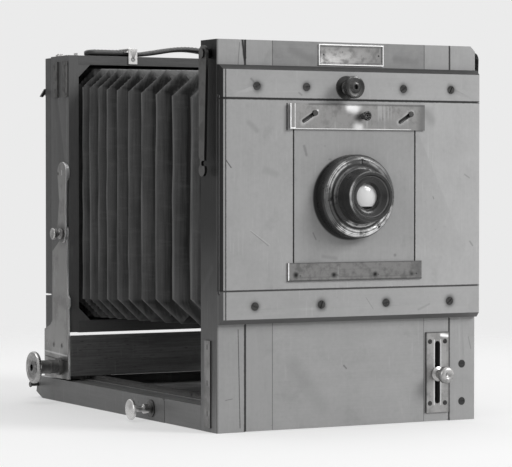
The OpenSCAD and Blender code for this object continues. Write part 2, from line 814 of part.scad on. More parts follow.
lens_back = 22;
module lens_barrel() {
  r = barrel_d / 2 - run;
  rim = rim_d / 2;
  top = flange_t + rim_out;
  color(steel) on_front(-lens_left, panel_y, lens_z) rotate_extrude($fn = 96) polygon([
    [rim - 5, -lens_back], [rim + 1, -lens_back], [rim + 1, -lens_board_t], [r, -lens_board_t],
    [r, flange_t], [r - 1.5, flange_t + 1.5], [r - 3.5, flange_t + 2], [r - 3.5, flange_t + 4],
    [rim + 1.2, flange_t + 5.5], [rim + 0.4, flange_t + 9], [rim + 0.4, top - 8],
    [rim, top - 7], [rim, top - 1], [rim - 1, top], [rim - 3.4, top], [rim - 4.4, top - 1.6],
    [rim - 6.4, top - 3], [glass_d / 2 + 3, top - 5], [glass_d / 2 + 1.6, top - 5],
    [glass_d / 2 + 0.1, top - 7], [glass_d / 2 + 0.1, top - 14], [glass_d / 2 - 2, top - 14],
    [glass_d / 2 - 2, -lens_back + 12], [rim - 5, -lens_back + 8]
  ]);
}

module lens_glasses() {
  top = flange_t + rim_out;
  color(glass) on_front(-lens_left, panel_y, lens_z) {
    translate([0, 0, top - 14]) rotate_extrude($fn = 64) polygon(concat(
      [[0, 0], [glass_d / 2, 0], [glass_d / 2, 4]],
      [for (i = [1:8]) [glass_d / 2 * (1 - i / 8), 4 + 2.6 * (1 - pow(1 - i / 8, 2))]]
    ));
    translate([0, 0, -lens_back + 1]) cylinder(h = 6, r = rim_d / 2 - 5, $fn = 64);
  }
}

// Hooks that hold the folded tailboard shut

hook_notch = 4.8;
module hook_shape() {
  difference() {
    union() {
      hull() {
        circle(d = 15, $fn = 48);
        translate([-2, -hook_reach + 8]) circle(d = 11, $fn = 48);
      }
      translate([-1.5, -hook_reach - 6]) circle(d = 12, $fn = 48);
      translate([-5.5, -hook_reach - 6]) square([9, 14]);
    }
    circle(d = stud_d + 2 * run, $fn = 32);
    translate([0, -hook_reach]) circle(d = hook_notch, $fn = 32);
    translate([0, -hook_reach - hook_notch / 2]) square([9, hook_notch]);
  }
}

module hook() {
  translate([-front_w / 2 - hook_plane, hook_pivot[0], hook_pivot[1]]) rotate([90, 0, 0])
    rotate([0, -90, 0]) linear_extrude(hook_t) hook_shape();
  on_left(-front_w / 2, hook_pivot[0], hook_pivot[1]) {
    translate([0, 0, -12]) cylinder(h = 12 + hook_plane + hook_t, d = stud_d, $fn = 32);
    translate([0, 0, hook_plane + hook_t]) cylinder(h = 1.6, d = 9, $fn = 32);
    translate([0, 0, slip]) difference() {
      cylinder(h = hook_plane - slip, d = 9, $fn = 32);
      translate([0, 0, -1]) cylinder(h = 9, d = stud_d, $fn = 32);
    }
  }
}
module hook_left() {
  color(brass) hook();
}
module hook_right() {
  color(brass) mirror([1, 0, 0]) hook();
}

// Thumbscrews with disc heads that lock the tailboard in line
module lock_screw() {
  on_left(-front_w / 2, lock_y, lock_z) {
    translate([0, 0, -10]) cylinder(h = 31, d = stud_d, $fn = 32);
    translate([0, 0, 1.4]) cylinder(h = 7, d = 9, $fn = 32);
    translate([0, 0, 20]) cylinder(h = 3.2, d = 20, $fn = 48);
    translate([0, 0, 23]) cylinder(h = 2, d = 9, $fn = 32);
  }
}
module lock_screw_left() {
  color(brass) lock_screw();
}
module lock_screw_right() {
  color(brass) mirror([1, 0, 0]) lock_screw();
}

// Carriage

carriage_bottom = track_h + 4;
carriage_slide = track_h + slip;

module carriage_boards() {
  board_h = carriage_top - carriage_bottom;
  color(wood_inner) {
    for (y = [carriage_y, carriage_y + carriage_d - carriage_t])
      block(-side_x, y, carriage_bottom, 2 * side_x, carriage_t, board_h);
    block(-side_x + block_w, carriage_y + carriage_t, carriage_top - 8, 2 * (side_x - block_w),
          carriage_d - 2 * carriage_t, 8);
    translate([0, pivot_y + 2, carriage_top]) cylinder(h = swing_gap - 1.4, d1 = 18, d2 = 12, $fn = 32);
  }
}

module carriage_blocks() {
  color(wood_dark) both_sides() difference() {
    block(-side_x, carriage_y + carriage_t, carriage_slide, block_w, carriage_d - 2 * carriage_t,
          carriage_top - carriage_slide);
    block(-rack_x - pinion_t / 2 - 3, carriage_y, carriage_slide - 1, pinion_t + 6, carriage_d,
          pinion_z + pinion_r + 3 - carriage_slide);
    on_left(0, pinion_y, pinion_z) cylinder(h = front_w, d = shaft_d + 2 * run, $fn = 48);
    for (y = cheek_screw_y) on_left(-cheek_x - cheek_t, y, cheek_screw_z) screw_hole(5.5, 13);
  }
}

// Runners in the grooves of the bed; their rear ends meet the end rail when racked right out
runner_w = groove_w - 2 * slip;
module carriage_runners() {
  start = carriage_y + carriage_t;
  color(brass) both_sides()
    block(-leg_x + slip, start, floor_t + 2, runner_w, track_end - slip - start,
          carriage_slide - floor_t - 2);
}

// Cheek plate: a waisted foot on the carriage and a tall blade up to the swing pivot
cheek_screw_y = [carriage_y + 16.5, carriage_y + 37, carriage_y + carriage_d - 13];
cheek_screw_z = carriage_top - 10;
cheek_foot = track_h + 0.6;
module cheek_outline() {
  blade = rear_y - 0.5;
  back = carriage_y + carriage_d - 2.5;
  waist = carriage_top + 28;
  difference() {
    union() {
      polygon([
        [blade - 3, cheek_foot], [blade - 1.5, waist], [blade - 4, waist + 3], [blade - 4, waist + 10],
        [blade, waist + 14], [blade + 2, pivot_z - 17], [pivot_y - 7, pivot_z - 6],
        [pivot_y + 7, pivot_z - 6], [back - 21, pivot_z - 19], [back - 21, carriage_top + 14],
        [back - 15, carriage_top + 9], [back, carriage_top + 4], [back, cheek_foot]
      ]);
      translate([pivot_y, pivot_z]) circle(d = 19, $fn = 48);
    }
    translate([pivot_y, pivot_z]) circle(d = stud_d + 2 * run, $fn = 32);
    translate([pinion_y, pinion_z]) circle(d = shaft_d + 2 * run, $fn = 48);
  }
}
module cheek_plates() {
  color(brass) both_sides() {
    difference() {
      translate([-cheek_x - cheek_t, 0, 0]) rotate([90, 0, 90]) linear_extrude(cheek_t) cheek_outline();
      for (y = cheek_screw_y) on_left(-cheek_x - cheek_t, y, cheek_screw_z) screw_hole(5.5, 13);
    }
    for (y = cheek_screw_y) on_left(-cheek_x - cheek_t, y, cheek_screw_z) screw(5.5, 12);
  }
}

// Shaft, pinions and knobs
housing_x = cheek_x + cheek_t;
module shaft_housings() {
  color(brass) both_sides() on_left(-housing_x, pinion_y, pinion_z) difference() {
    union() {
      cylinder(h = housing_l, d = housing_d, $fn = 48);
      cylinder(h = 3, d = housing_d + 4, $fn = 48);
      translate([0, 0, housing_l * 0.45]) cylinder(h = 1.5, d = housing_d + 1.4, $fn = 48);
    }
    translate([0, 0, -1]) cylinder(h = housing_l + 2, d = shaft_d + 2 * run, $fn = 48);
  }
}

knob_x0 = housing_x + housing_l + slip;
function tooth_point(r, a) = [r * cos(a), r * sin(a)];
module pinion() {
  step = 360 / pinion_teeth;
  root = pinion_r - 1.2 * tooth_m;
  tip = pinion_r + 0.85 * tooth_m;
  linear_extrude(pinion_t) polygon([for (i = [0:pinion_teeth - 1]) each [
    tooth_point(root, (i + 0.5) * step - step * 0.27), tooth_point(pinion_r, (i + 0.5) * step - step * 0.17),
    tooth_point(tip, (i + 0.5) * step - step * 0.07), tooth_point(tip, (i + 0.5) * step + step * 0.07),
    tooth_point(pinion_r, (i + 0.5) * step + step * 0.17), tooth_point(root, (i + 0.5) * step + step * 0.27)
  ]]);
}
module pinion_shaft() {
  color(steel) translate([0, pinion_y, pinion_z]) {
    rotate([0, 90, 0]) cylinder(h = 2 * (knob_x0 + focus_knob_t - 2), d = shaft_d, center = true, $fn = 48);
    for (s = [-1, 1]) translate([s * rack_x - pinion_t / 2, 0, 0]) rotate([0, 90, 0]) pinion();
  }
}

module focus_knobs() {
  r = focus_knob_d / 2;
  color(brass) both_sides() on_left(-knob_x0, pinion_y, pinion_z) rotate_extrude($fn = 96) polygon([
    [shaft_d / 2, 0], [5.5, 0], [6.5, 1.2], [r - 1.4, 1.2], [r, 2.4], [r, focus_knob_t - 1.6],
    [r - 1.2, focus_knob_t - 0.4], [r - 2.6, focus_knob_t - 0.4], [r - 4, focus_knob_t - 1.8],
    [6.5, focus_knob_t - 2.2], [5.2, focus_knob_t - 0.2], [shaft_d / 2, focus_knob_t - 0.2]
  ]);
}

// Rear frame

module rear_stiles() {
  color(wood_dark) both_sides() {
    difference() {
      block(-side_x, rear_y, rear_z, rear_wall, rear_d, front_h - rear_z);
      on_left(-side_x, pivot_y, pivot_z) translate([0, 0, -9])
        cylinder(h = 10, d = stud_d + 2 * run, $fn = 32);
      for (z = guide_screw_z, y = guide_screw_y) on_left(-side_x - guide_t, y, z) screw_hole(small_head_d, 9);
      on_left(-link_x - link_t, pivot_y - 1, link_screw_z) screw_hole(5, 13);
      translate([-catch_pivot[0], catch_pivot[1], front_h - 6]) cylinder(h = 7, d = 3 + 2 * run, $fn = 24);
    }
    for (top = [0, 1]) translate([0, rear_y, top == 1 ? front_h - rear_top_t : rear_z + rear_bottom_t])
      mirror([0, 0, top]) rotate([90, 0, 0]) mirror([0, 0, 1]) linear_extrude(rear_d - 14)
        polygon([[-rear_inner, 0], [-rear_inner + block_leg, 0], [-rear_inner, block_leg]]);
  }
}

module rear_rails() {
  color(wood_dark) {
    block(-rear_inner, rear_y, front_h - rear_top_t, 2 * rear_inner, rear_d, rear_top_t);
    block(-rear_inner, rear_y, rear_z, 2 * rear_inner, rear_d, rear_bottom_t);
    block(-side_x, plate_y, rear_z, 2 * side_x, screen_t, ledge_h);
  }
}

// Inner frame that the plate holder lies against, and that the bellows end on
plate_opening = 206;
plate_frame_t = 6;
module plate_frame() {
  z0 = rear_z + rear_bottom_t;
  z1 = front_h - rear_top_t;
  middle = (z0 + z1) / 2;
  color(wood_inner) difference() {
    block(-rear_inner, plate_y - 10, z0, 2 * rear_inner, plate_frame_t, z1 - z0);
    block(-plate_opening / 2, plate_y - 20, middle - plate_opening / 2, plate_opening, 30, plate_opening);
  }
}

link_l = 63;
link_screw_z = pivot_z + link_l;
module swing_link_outline() {
  difference() {
    union() {
      hull() {
        translate([-1, link_l]) circle(d = 22, $fn = 32);
        translate([-2, link_l * 0.54]) circle(d = 15, $fn = 32);
      }
      hull() {
        translate([-2, link_l * 0.54]) circle(d = 15, $fn = 32);
        translate([0, 8]) circle(d = 20, $fn = 32);
      }
      circle(d = 19, $fn = 48);
    }
    circle(d = stud_d + 2 * run, $fn = 32);
  }
}
module swing_links() {
  color(brass) both_sides() {
    difference() {
      union() {
        translate([-link_x - link_t, pivot_y, pivot_z]) rotate([90, 0, 90]) linear_extrude(link_t)
          swing_link_outline();
        on_left(-side_x, pivot_y - 1, link_screw_z) cylinder(h = link_x - side_x, d = 20, $fn = 48);
      }
      on_left(-link_x - link_t, pivot_y - 1, link_screw_z) screw_hole(5, 13);
    }
    on_left(-link_x - link_t, pivot_y - 1, link_screw_z) screw(5, 12);
  }
}

// Paired guide strips near the top of each side
guide_w = 10.8;
guide_l = 37;
guide_t = 2;
guide_top = front_h - 6;
guide_screw_y = [rear_y + 7, rear_y + 31];
guide_screw_z = [guide_top - guide_l + 7, guide_top - 6];
module rear_fittings() {
  color(brass) both_sides() {
    difference() {
      for (y = guide_screw_y)
        block(-side_x - guide_t, y - guide_w / 2, guide_top - guide_l, guide_t, guide_w, guide_l);
      for (z = guide_screw_z, y = guide_screw_y) on_left(-side_x - guide_t, y, z) screw_hole(small_head_d, 9);
    }
    for (z = guide_screw_z, y = guide_screw_y) on_left(-side_x - guide_t, y, z) screw(small_head_d, 8);
  }
  color(brass) for (x = screen_hinge_x) {
    for (s = [-1, 1]) translate([x + s * (screen_knuckle / 2 + slip + 3.5), 0, 0]) {
      translate([-3.5, screen_hinge_y, screen_z - 1]) rotate([0, 90, 0]) cylinder(h = 7, d = 5, $fn = 32);
      block(-3.5, plate_y + screen_t, screen_z - 6, 7, 3.4, 5);
    }
    block(x - 20, plate_y + screen_t, screen_z - 16, 40, 2, 11);
    translate([x - 14, screen_hinge_y, screen_z - 1]) rotate([0, 90, 0]) cylinder(h = 28, d = 2.5, $fn = 24);
  }
}

module swing_screw() {
  on_left(-link_x - link_t - slip, pivot_y, pivot_z) {
    translate([0, 0, -link_x - link_t - slip + side_x - 8]) cylinder(h = 14, d = stud_d, $fn = 32);
    cylinder(h = 2, d = 11, $fn = 32);
    translate([0, 0, 2]) cylinder(h = 4, d = 6, $fn = 32);
    translate([0, 0, 5]) rotate_extrude($fn = 48) polygon([
      [0, 0], [4, 0], [6, 1.4], [6, 4.4], [5, 5.4], [0, 5.4]]);
  }
}
module swing_screw_left() {
  color(brass) swing_screw();
}
module swing_screw_right() {
  color(brass) mirror([1, 0, 0]) swing_screw();
}

// Leather handle, flat under its staples and arched between them
handle_y = rear_y + 13;
handle_z = front_h + 0.8;
arch_half = staple_span / 2 - 8;
function arch(x) = abs(x) < arch_half ? arch_h * (1 + cos(180 * x / arch_half)) / 2 : 0;
module handle_strap() {
  steps = 40;
  last = handle_l / 2;
  xs = [for (i = [0:steps]) -last + 2 * last * i / steps];
  color(leather) translate([0, handle_y + strap_w / 2, 0]) rotate([90, 0, 0]) linear_extrude(strap_w)
    polygon(concat(
      [for (x = xs) [x, handle_z + arch(x) + (abs(x) > last - 1 ? 1.2 : 0)]],
      [for (i = [0:steps]) [xs[steps - i], handle_z + arch(xs[steps - i]) + strap_t
        - (abs(xs[i]) > last - 1 ? 1.2 : 0)]]
    ));
}

// Staples: a strip over the strap, one foot down the front face and one on the top
module handle_staples() {
  t = 1.4;
  top = handle_z + strap_t + 0.2;
  front = rear_y - t;
  back = handle_y + strap_w / 2 + 0.4;
  color(brass) for (x = [-staple_span / 2, staple_span / 2]) {
    difference() {
      translate([x - staple_w / 2, 0, 0]) rotate([90, 0, 90]) linear_extrude(staple_w) polygon([
        [front, front_h - 8], [front, top + t], [back + t, top + t], [back + t, front_h + t],
        [back + 8, front_h + t], [back + 8, front_h], [back, front_h], [back, top],
        [front + t, top], [front + t, front_h - 8]
      ]);
      on_front(x, front, front_h - 3.6) translate([0, 0, -0.8]) cylinder(h = 2, d = small_head_d, $fn = 24);
    }
    on_front(x, front + 0.8, front_h - 3.6) cylinder(h = 0.5, d = small_head_d, $fn = 24);
  }
}

// Focusing screen

module screen_frame() {
  h = screen_top - screen_z;
  color(wood_dark) {
    difference() {
      block(-side_x, screen_y, screen_z, 2 * side_x, screen_t, h);
      block(-side_x + screen_border, screen_y - 1, screen_z + screen_border,
            2 * (side_x - screen_border), screen_t + 2, h - 2 * screen_border);
      block(-side_x + screen_border - 4, screen_y - 1, screen_z + screen_border - 4,
            2 * (side_x - screen_border) + 8, screen_glass_t + 2, h - 2 * screen_border + 8);
    }
    for (s = [-1, 1]) translate([s * (side_x - 6) - 3, screen_y + screen_t, front_h - 40])
      cube([6, 8, 5]);
  }
}

// Hinges of the focusing screen: the middle knuckle turns on a pin between the outer two
screen_hinge_x = [-90, 90];
screen_knuckle = 14;
module screen_hinges() {
  color(brass) for (x = screen_hinge_x) difference() {
    union() {
      translate([x - screen_knuckle / 2, screen_hinge_y, screen_z - 1]) rotate([0, 90, 0])
        cylinder(h = screen_knuckle, d = 5, $fn = 32);
      block(x - screen_knuckle / 2, screen_y + screen_t, screen_z - 1, screen_knuckle, 2, 4);
      block(x - 20, screen_y + screen_t, screen_z + 2, 40, 2, 12);
    }
    translate([x - 30, screen_hinge_y, screen_z - 1]) rotate([0, 90, 0])
      cylinder(h = 60, d = 2.5 + 2 * run, $fn = 24);
  }
}

module focusing_screen() {
  h = screen_top - screen_z;
  color(glass) block(-side_x + screen_border - 3.8, screen_y + 0.8, screen_z + screen_border - 3.8,
                     2 * (side_x - screen_border) + 7.6, screen_glass_t, h - 2 * screen_border + 7.6);
}

// Turn-over catches that hold the focusing screen shut, as turned aside
catch_pivot = [side_x - 7, plate_y - 8];
module back_catch() {
  translate([-catch_pivot[0], catch_pivot[1], front_h]) {
    difference() {
      hull() {
        translate([0, 0, slip]) cylinder(h = 1.6, d = 9, $fn = 32);
        translate([15, 0, slip]) cylinder(h = 1.6, d = 7, $fn = 32);
      }
      translate([0, 0, -1]) cylinder(h = 5, d = 3, $fn = 24);
    }
    translate([0, 0, -5]) cylinder(h = 7, d = 3, $fn = 24);
    translate([0, 0, slip + 1.6]) cylinder(h = 1, d = 6, $fn = 24);
    translate([17, -3, slip]) cube([1.6, 6, 4]);
  }
}
module back_catch_left() {
  color(brass) back_catch();
}
module back_catch_right() {
  color(brass) mirror([1, 0, 0]) back_catch();
}

// Bellows: eight-sided rings, the side folds half a pitch out of step with the top folds

bellows_y0 = back_y;
bellows_y1 = plate_y - 10;
bellows_front = [inner_w / 2 + stile_lap, (front_h - top_rail_h - bottom_rail_h) / 2 + rail_lap];
bellows_rear = [rear_inner - side_room, (front_h - rear_top_t - rear_z - rear_bottom_t) / 2 - top_room];
bellows_front_z = (front_h - top_rail_h + bottom_rail_h) / 2;
bellows_rear_z = (front_h - rear_top_t + rear_z + rear_bottom_t) / 2;
corner_front = [corner_w_front, corner_h_front];
corner_rear = [corner_w_rear, corner_h_rear];
end_inset = 1.6;
fold_share = 0.75;
fold_sum = (bellows_y1 - bellows_y0) / (1 - pow(fold_ratio, folds));
function ring_y(k) = bellows_y0 + fold_sum * (1 - pow(fold_ratio, k / 2));
function half_pitch(k) = (ring_y(k + 1) - ring_y(max(0, k - 1))) / (k == 0 ? 1 : 2);
function fold_depth(k) = fold_share * sqrt(max(9, pow(pleat_w, 2) - pow(half_pitch(k), 2)));
function share(k) = (ring_y(k) - bellows_y0) / (bellows_y1 - bellows_y0);
function between(front, rear, k) = front + (rear - front) * share(k);
function ring(k, inset) =
  let (
    half = between(bellows_front, bellows_rear, k) - [inset, inset],
    c = between(corner_front, corner_rear, k),
    z = between(bellows_front_z, bellows_rear_z, k),
    y = ring_y(k),
    edge = k == 0 || k == 2 * folds,
    w = half[0] - (edge ? end_inset : k % 2 == 0 ? fold_depth(k) : 0),
    h = half[1] - (edge ? end_inset : k % 2 == 1 ? fold_depth(k) : 0),
    top = half[0] - c[0],
    side = half[1] - c[1]
  )
  [[w, y, z + side], [top, y, z + h], [-top, y, z + h], [-w, y, z + side],
   [-w, y, z - side], [-top, y, z - h], [top, y, z - h], [w, y, z - side]];
module bellows() {
  n = 2 * folds;
  outer = [for (k = [0:n]) each ring(k, 0)];
  inner = [for (k = [0:n]) each ring(k, cloth_t)];
  count = 8 * (n + 1);
  flip = [0, 1, 0, 1, 0, 1, 0, 1];
  shell = [for (k = [0:n - 1], j = [0:7])
    let (a = 8 * k + j, b = 8 * k + (j + 1) % 8, c = a + 8, d = b + 8)
    flip[j] == 0 ? [[a, b, d], [a, d, c]] : [[a, b, c], [b, d, c]]];
  faces = concat(
    [for (s = shell) each s],
    [for (s = shell) each [for (t = s) [t[0] + count, t[2] + count, t[1] + count]]],
    [for (j = [0:7]) let (b = (j + 1) % 8) each [[j, count + j, b], [b, count + j, count + b]]],
    [for (j = [0:7]) let (b = (j + 1) % 8, e = 8 * n)
      each [[e + j, e + b, count + e + j], [e + b, count + e + b, count + e + j]]]
  );
  color(cloth) polyhedron(concat(outer, inner), faces, convexity = 20);
}

front_stile_left();
front_stile_right();
front_top_rail();
front_bottom_rail();
side_strips();
bed_floor();
bed_rails();
tripod_bush();
tailboard_floor();
tailboard_rails();
tailboard_end_rail();
tracks();
racks();
tailboard_hinges();
tailboard_fittings();
rise_lock_stud();
rising_board();
board_clamps();
rise_slot_plate();
upper_cleat();
lower_cleat();
top_plate();
front_screws();
cross_panel();
lens_board();
lens_board_strip();
catch_pins();
lens_flange();
lens_barrel();
lens_glasses();
catch_plate();
catch_knob();
clamp_knob();
rise_lock_nut();
hook_left();
hook_right();
lock_screw_left();
lock_screw_right();
carriage_boards();
carriage_blocks();
carriage_runners();
cheek_plates();
shaft_housings();
pinion_shaft();
focus_knobs();
rear_stiles();
rear_rails();
plate_frame();
swing_links();
rear_fittings();
handle_strap();
handle_staples();
swing_screw_left();
swing_screw_right();
screen_frame();
screen_hinges();
focusing_screen();
back_catch_left();
back_catch_right();
bellows();
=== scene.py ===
import json
import bmesh
import bpy
from math import cos, log, pi, radians, sin, sqrt
from mathutils import Matrix, Vector, noise

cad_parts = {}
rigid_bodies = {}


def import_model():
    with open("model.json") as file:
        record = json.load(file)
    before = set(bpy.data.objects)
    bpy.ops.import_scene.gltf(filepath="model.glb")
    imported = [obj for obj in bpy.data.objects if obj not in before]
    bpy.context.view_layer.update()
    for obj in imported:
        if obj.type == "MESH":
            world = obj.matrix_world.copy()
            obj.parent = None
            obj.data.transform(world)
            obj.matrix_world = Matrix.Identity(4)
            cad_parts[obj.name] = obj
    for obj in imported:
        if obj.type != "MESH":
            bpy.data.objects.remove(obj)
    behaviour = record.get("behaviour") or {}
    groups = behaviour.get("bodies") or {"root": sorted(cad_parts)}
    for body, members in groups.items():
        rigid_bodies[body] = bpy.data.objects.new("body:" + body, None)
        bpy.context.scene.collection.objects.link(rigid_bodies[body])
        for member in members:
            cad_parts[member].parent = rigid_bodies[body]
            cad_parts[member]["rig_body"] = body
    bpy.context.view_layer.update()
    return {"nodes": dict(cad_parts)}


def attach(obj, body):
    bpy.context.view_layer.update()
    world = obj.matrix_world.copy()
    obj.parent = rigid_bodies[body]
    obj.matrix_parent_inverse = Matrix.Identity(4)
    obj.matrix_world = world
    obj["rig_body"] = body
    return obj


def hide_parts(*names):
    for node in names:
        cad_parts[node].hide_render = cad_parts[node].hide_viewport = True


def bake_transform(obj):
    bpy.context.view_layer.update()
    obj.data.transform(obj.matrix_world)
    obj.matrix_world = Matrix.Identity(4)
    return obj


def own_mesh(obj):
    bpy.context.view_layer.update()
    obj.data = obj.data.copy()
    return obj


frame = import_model()
mm = 0.001
scene = bpy.context.scene
print("frame loaded:", len(frame["nodes"]), "nodes")


def addToScene(name, data):
    thing = bpy.data.objects.new(name, data)
    scene.collection.objects.link(thing)
    return thing


# Camera, where the photograph was taken from
cameraSetting = {"spot": (-1.137, -1.988, 0.234), "turn": 28.41, "pitch": 1.37, "lens": 167.4}


def makeCamera(c):
    turn, pitch = radians(c["turn"]), radians(c["pitch"])
    ahead = Vector((sin(turn) * cos(pitch), cos(turn) * cos(pitch), -sin(pitch)))
    data = bpy.data.cameras.new("camera")
    data.lens = c["lens"]
    data.sensor_width = 36
    cam = addToScene("camera", data)
    cam.location = c["spot"]
    cam.rotation_euler = ahead.to_track_quat("-Z", "Y").to_euler()
    scene.camera = cam


makeCamera(cameraSetting)
scene.view_settings.view_transform = "Standard"


# Small helpers for node trees: each finds its tree from the sockets that it is given
def fill(socket, value):
    if isinstance(value, bpy.types.NodeSocket):
        socket.id_data.links.new(value, socket)
    elif hasattr(socket.default_value, "__len__") and not hasattr(value, "__len__"):
        socket.default_value = [value] * len(socket.default_value)
    else:
        socket.default_value = value


def newNode(kind, values):
    tree = next(v.id_data for v in values if isinstance(v, bpy.types.NodeSocket))
    return tree.nodes.new("ShaderNode" + kind)


def fillAll(node, values):
    for socket, value in zip(node.inputs, values):
        fill(socket, value)
    return node.outputs


def linkNode(kind, settings=None, **inputs):
    node = newNode(kind, inputs.values())
    for key, value in (settings or {}).items():
        setattr(node, key, value)
    for key, value in inputs.items():
        fill(node.inputs[key], value)
    return node


def maths(operation, *values, clamp=False):
    node = newNode("Math", values)
    node.operation = operation
    node.use_clamp = clamp
    return fillAll(node, values)[0]


def times(a, b):
    return maths("MULTIPLY", a, b)


def plus(a, b, clamp=False):
    return maths("ADD", a, b, clamp=clamp)


def minus(a, b, clamp=False):
    return maths("SUBTRACT", a, b, clamp=clamp)


def vectors(operation, *values, out=0):
    node = newNode("VectorMath", values)
    node.operation = operation
    return fillAll(node, values)[out]


def length(vector):
    return vectors("LENGTH", vector, out=1)


def fromTo(a, b, keep):
    return vectors("MULTIPLY", vectors("SUBTRACT", b, a), keep)


def ramp(value, *limits):  # low, high and what they become
    node = newNode("MapRange", [value])
    node.interpolation_type = "SMOOTHSTEP"
    return fillAll(node, (value, *limits))[0]


def noiseAt(vector, scale, detail=4, roughness=0.55, stretch=None):
    if stretch:
        vector = vectors("MULTIPLY", vector, stretch)
    node = linkNode("TexNoise", Vector=vector, Scale=scale, Detail=detail, Roughness=roughness)
    return node.outputs["Fac"]


def mix(share, a, b, kind="MIX"):
    node = newNode("Mix", (share, a, b))
    node.data_type = "RGBA"
    node.blend_type = kind
    for index, value in ((0, share), (6, a), (7, b)):  # the factor and the two colour sockets
        fill(node.inputs[index], value)
    return node.outputs[2]


def axes(vector):
    return linkNode("SeparateXYZ", Vector=vector).outputs


# How far a face turns to one axis, as a mask
def facing(coords, axis, low, high):
    return ramp(maths("ABSOLUTE", axes(coords["Normal"])[axis]), low, high)


def tint(colour, *layers):  # each layer is a share and a tone
    for share, tone in layers:
        colour = mix(share, colour, grey(tone))
    return colour


def grey(value, warmth=0):
    return (value * (1 + warmth), value, value * (1 - warmth), 1)


def newGroup(name, inputs, outputs):
    group = bpy.data.node_groups.new(name, "ShaderNodeTree")
    kinds = {"v": "NodeSocketVector", "f": "NodeSocketFloat", "c": "NodeSocketColor"}
    for label, kind, default in inputs:
        socket = group.interface.new_socket(label, in_out="INPUT", socket_type=kinds[kind])
        if default is not None:
            socket.default_value = default
    for label, kind in outputs:
        group.interface.new_socket(label, in_out="OUTPUT", socket_type=kinds[kind])
    return group, group.nodes.new("NodeGroupInput").outputs, group.nodes.new("NodeGroupOutput").inputs


def centred(value, amount):
    return times(minus(value, 0.5), amount)


# Grain runs along the group's Z: fibres, broad bands and pores
def makeGrainGroup():
    group, given, result = newGroup(
        "woodGrain",
        [("Vector", "v", None), ("Light", "c", grey(0.36)), ("Dark", "c", grey(0.25)),
         ("Fibre", "f", 0.5), ("Mottle", "f", 0.5), ("Seed", "f", 0)],
        [("Color", "c"), ("Height", "f"), ("Rough", "f")],
    )
    shifted = vectors("ADD", given["Vector"], given["Seed"])
    wavy = linkNode("TexNoise", Vector=vectors("MULTIPLY", shifted, (1, 1, 0.3)), Scale=7,
                    Detail=1).outputs["Color"]
    sideways = vectors("MULTIPLY", vectors("SUBTRACT", wavy, (0.5, 0.5, 0.5)), (0.012, 0.012, 0))
    bent = vectors("MULTIPLY", vectors("ADD", shifted, sideways), (1, 1, 0.045))
    fibre = noiseAt(bent, 620, 3, 0.6)
    band = noiseAt(bent, 95, 3, 0.6)
    cloud = noiseAt(shifted, 22, 4, 0.6)
    speck = noiseAt(shifted, 260, 2, 0.5)
    pores = ramp(noiseAt(shifted, 1100, 1, stretch=(1, 1, 0.09)), 0.66, 0.76)
    amount = plus(centred(fibre, given["Fibre"]), centred(band, given["Fibre"]))
    amount = plus(amount, centred(cloud, given["Mottle"]))
    amount = plus(amount, centred(speck, times(given["Mottle"], 0.5)))
    amount = plus(amount, 0.5, clamp=True)
    colour = mix(amount, given["Dark"], given["Light"])
    pored = mix(times(pores, given["Fibre"]), colour, given["Dark"])
    fill(result["Color"], pored)
    fill(result["Height"], minus(fibre, times(pores, 0.8)))
    fill(result["Rough"], centred(cloud, 0.35))
    return group


# A mark along the line from From to To. Keep leaves out the coordinate that runs into the face
def makeStrokeGroup():
    group, given, result = newGroup(
        "stroke",
        [("Vector", "v", None), ("From", "v", None), ("To", "v", None), ("Keep", "v", (1, 0, 1)),
         ("Width", "f", 0.001), ("Rag", "f", 0.3)],
        [("Mask", "f")],
    )
    here = fromTo(given["From"], given["Vector"], given["Keep"])
    line = fromTo(given["From"], given["To"], given["Keep"])
    along = maths("DIVIDE", vectors("DOT_PRODUCT", here, line, out=1),
                  maths("MAXIMUM", vectors("DOT_PRODUCT", line, line, out=1), 1e-9), clamp=True)
    step = linkNode("VectorMath", {"operation": "SCALE"}, Vector=line, Scale=along).outputs[0]
    away = length(vectors("SUBTRACT", here, step))
    cloud = noiseAt(given["Vector"], maths("DIVIDE", 0.45, given["Width"]), 3)
    ragged = centred(cloud, times(given["Rag"], 4))
    width = times(given["Width"], plus(1, ragged))
    solid = maths("MINIMUM", times(width, 0.3), 0.0004)
    fill(result["Mask"], ramp(away, solid, width, 1, 0))
    return group


# Fine random scratches and soft grubby patches
def makeWearGroup():
    group, given, result = newGroup(
        "wear",
        [("Vector", "v", None), ("Scratch", "f", 0.5), ("Grime", "f", 0.5)],
        [("Scratch", "f"), ("Grime", "f"), ("Speck", "f")],
    )
    lines = None
    for turn, scale in ((0.6, 60), (-0.9, 45), (1.4, 75)):
        turned = linkNode("Mapping", Vector=given["Vector"], Rotation=(0, turn, 0),
                          Scale=(1, 1, 0.06)).outputs[0]
        one = ramp(noiseAt(turned, scale * 8, 0), 0.745, 0.775)
        gate = ramp(noiseAt(given["Vector"], scale * 0.5, 2), 0.5, 0.62)
        one = times(one, gate)
        lines = one if lines is None else maths("MAXIMUM", lines, one)
    patch = ramp(noiseAt(given["Vector"], 48, 5, 0.65), 0.54, 0.76)
    speck = ramp(noiseAt(given["Vector"], 330, 1), 0.76, 0.84)
    fill(result["Scratch"], times(lines, given["Scratch"]))
    fill(result["Grime"], times(patch, given["Grime"]))
    fill(result["Speck"], times(speck, given["Grime"]))
    return group


groups = {"grain": makeGrainGroup(), "stroke": makeStrokeGroup(), "wear": makeWearGroup()}


def useGroup(name, **inputs):
    return linkNode("Group", {"node_tree": groups[name]}, **inputs).outputs


def newMaterial(name, **shaderValues):
    material = bpy.data.materials.new(name)
    material.use_nodes = True
    shader = material.node_tree.nodes["Principled BSDF"]
    for key, value in shaderValues.items():
        shader.inputs[key.replace("_", " ")].default_value = value
    coords = material.node_tree.nodes.new("ShaderNodeTexCoord")
    return material, shader.inputs, coords.outputs


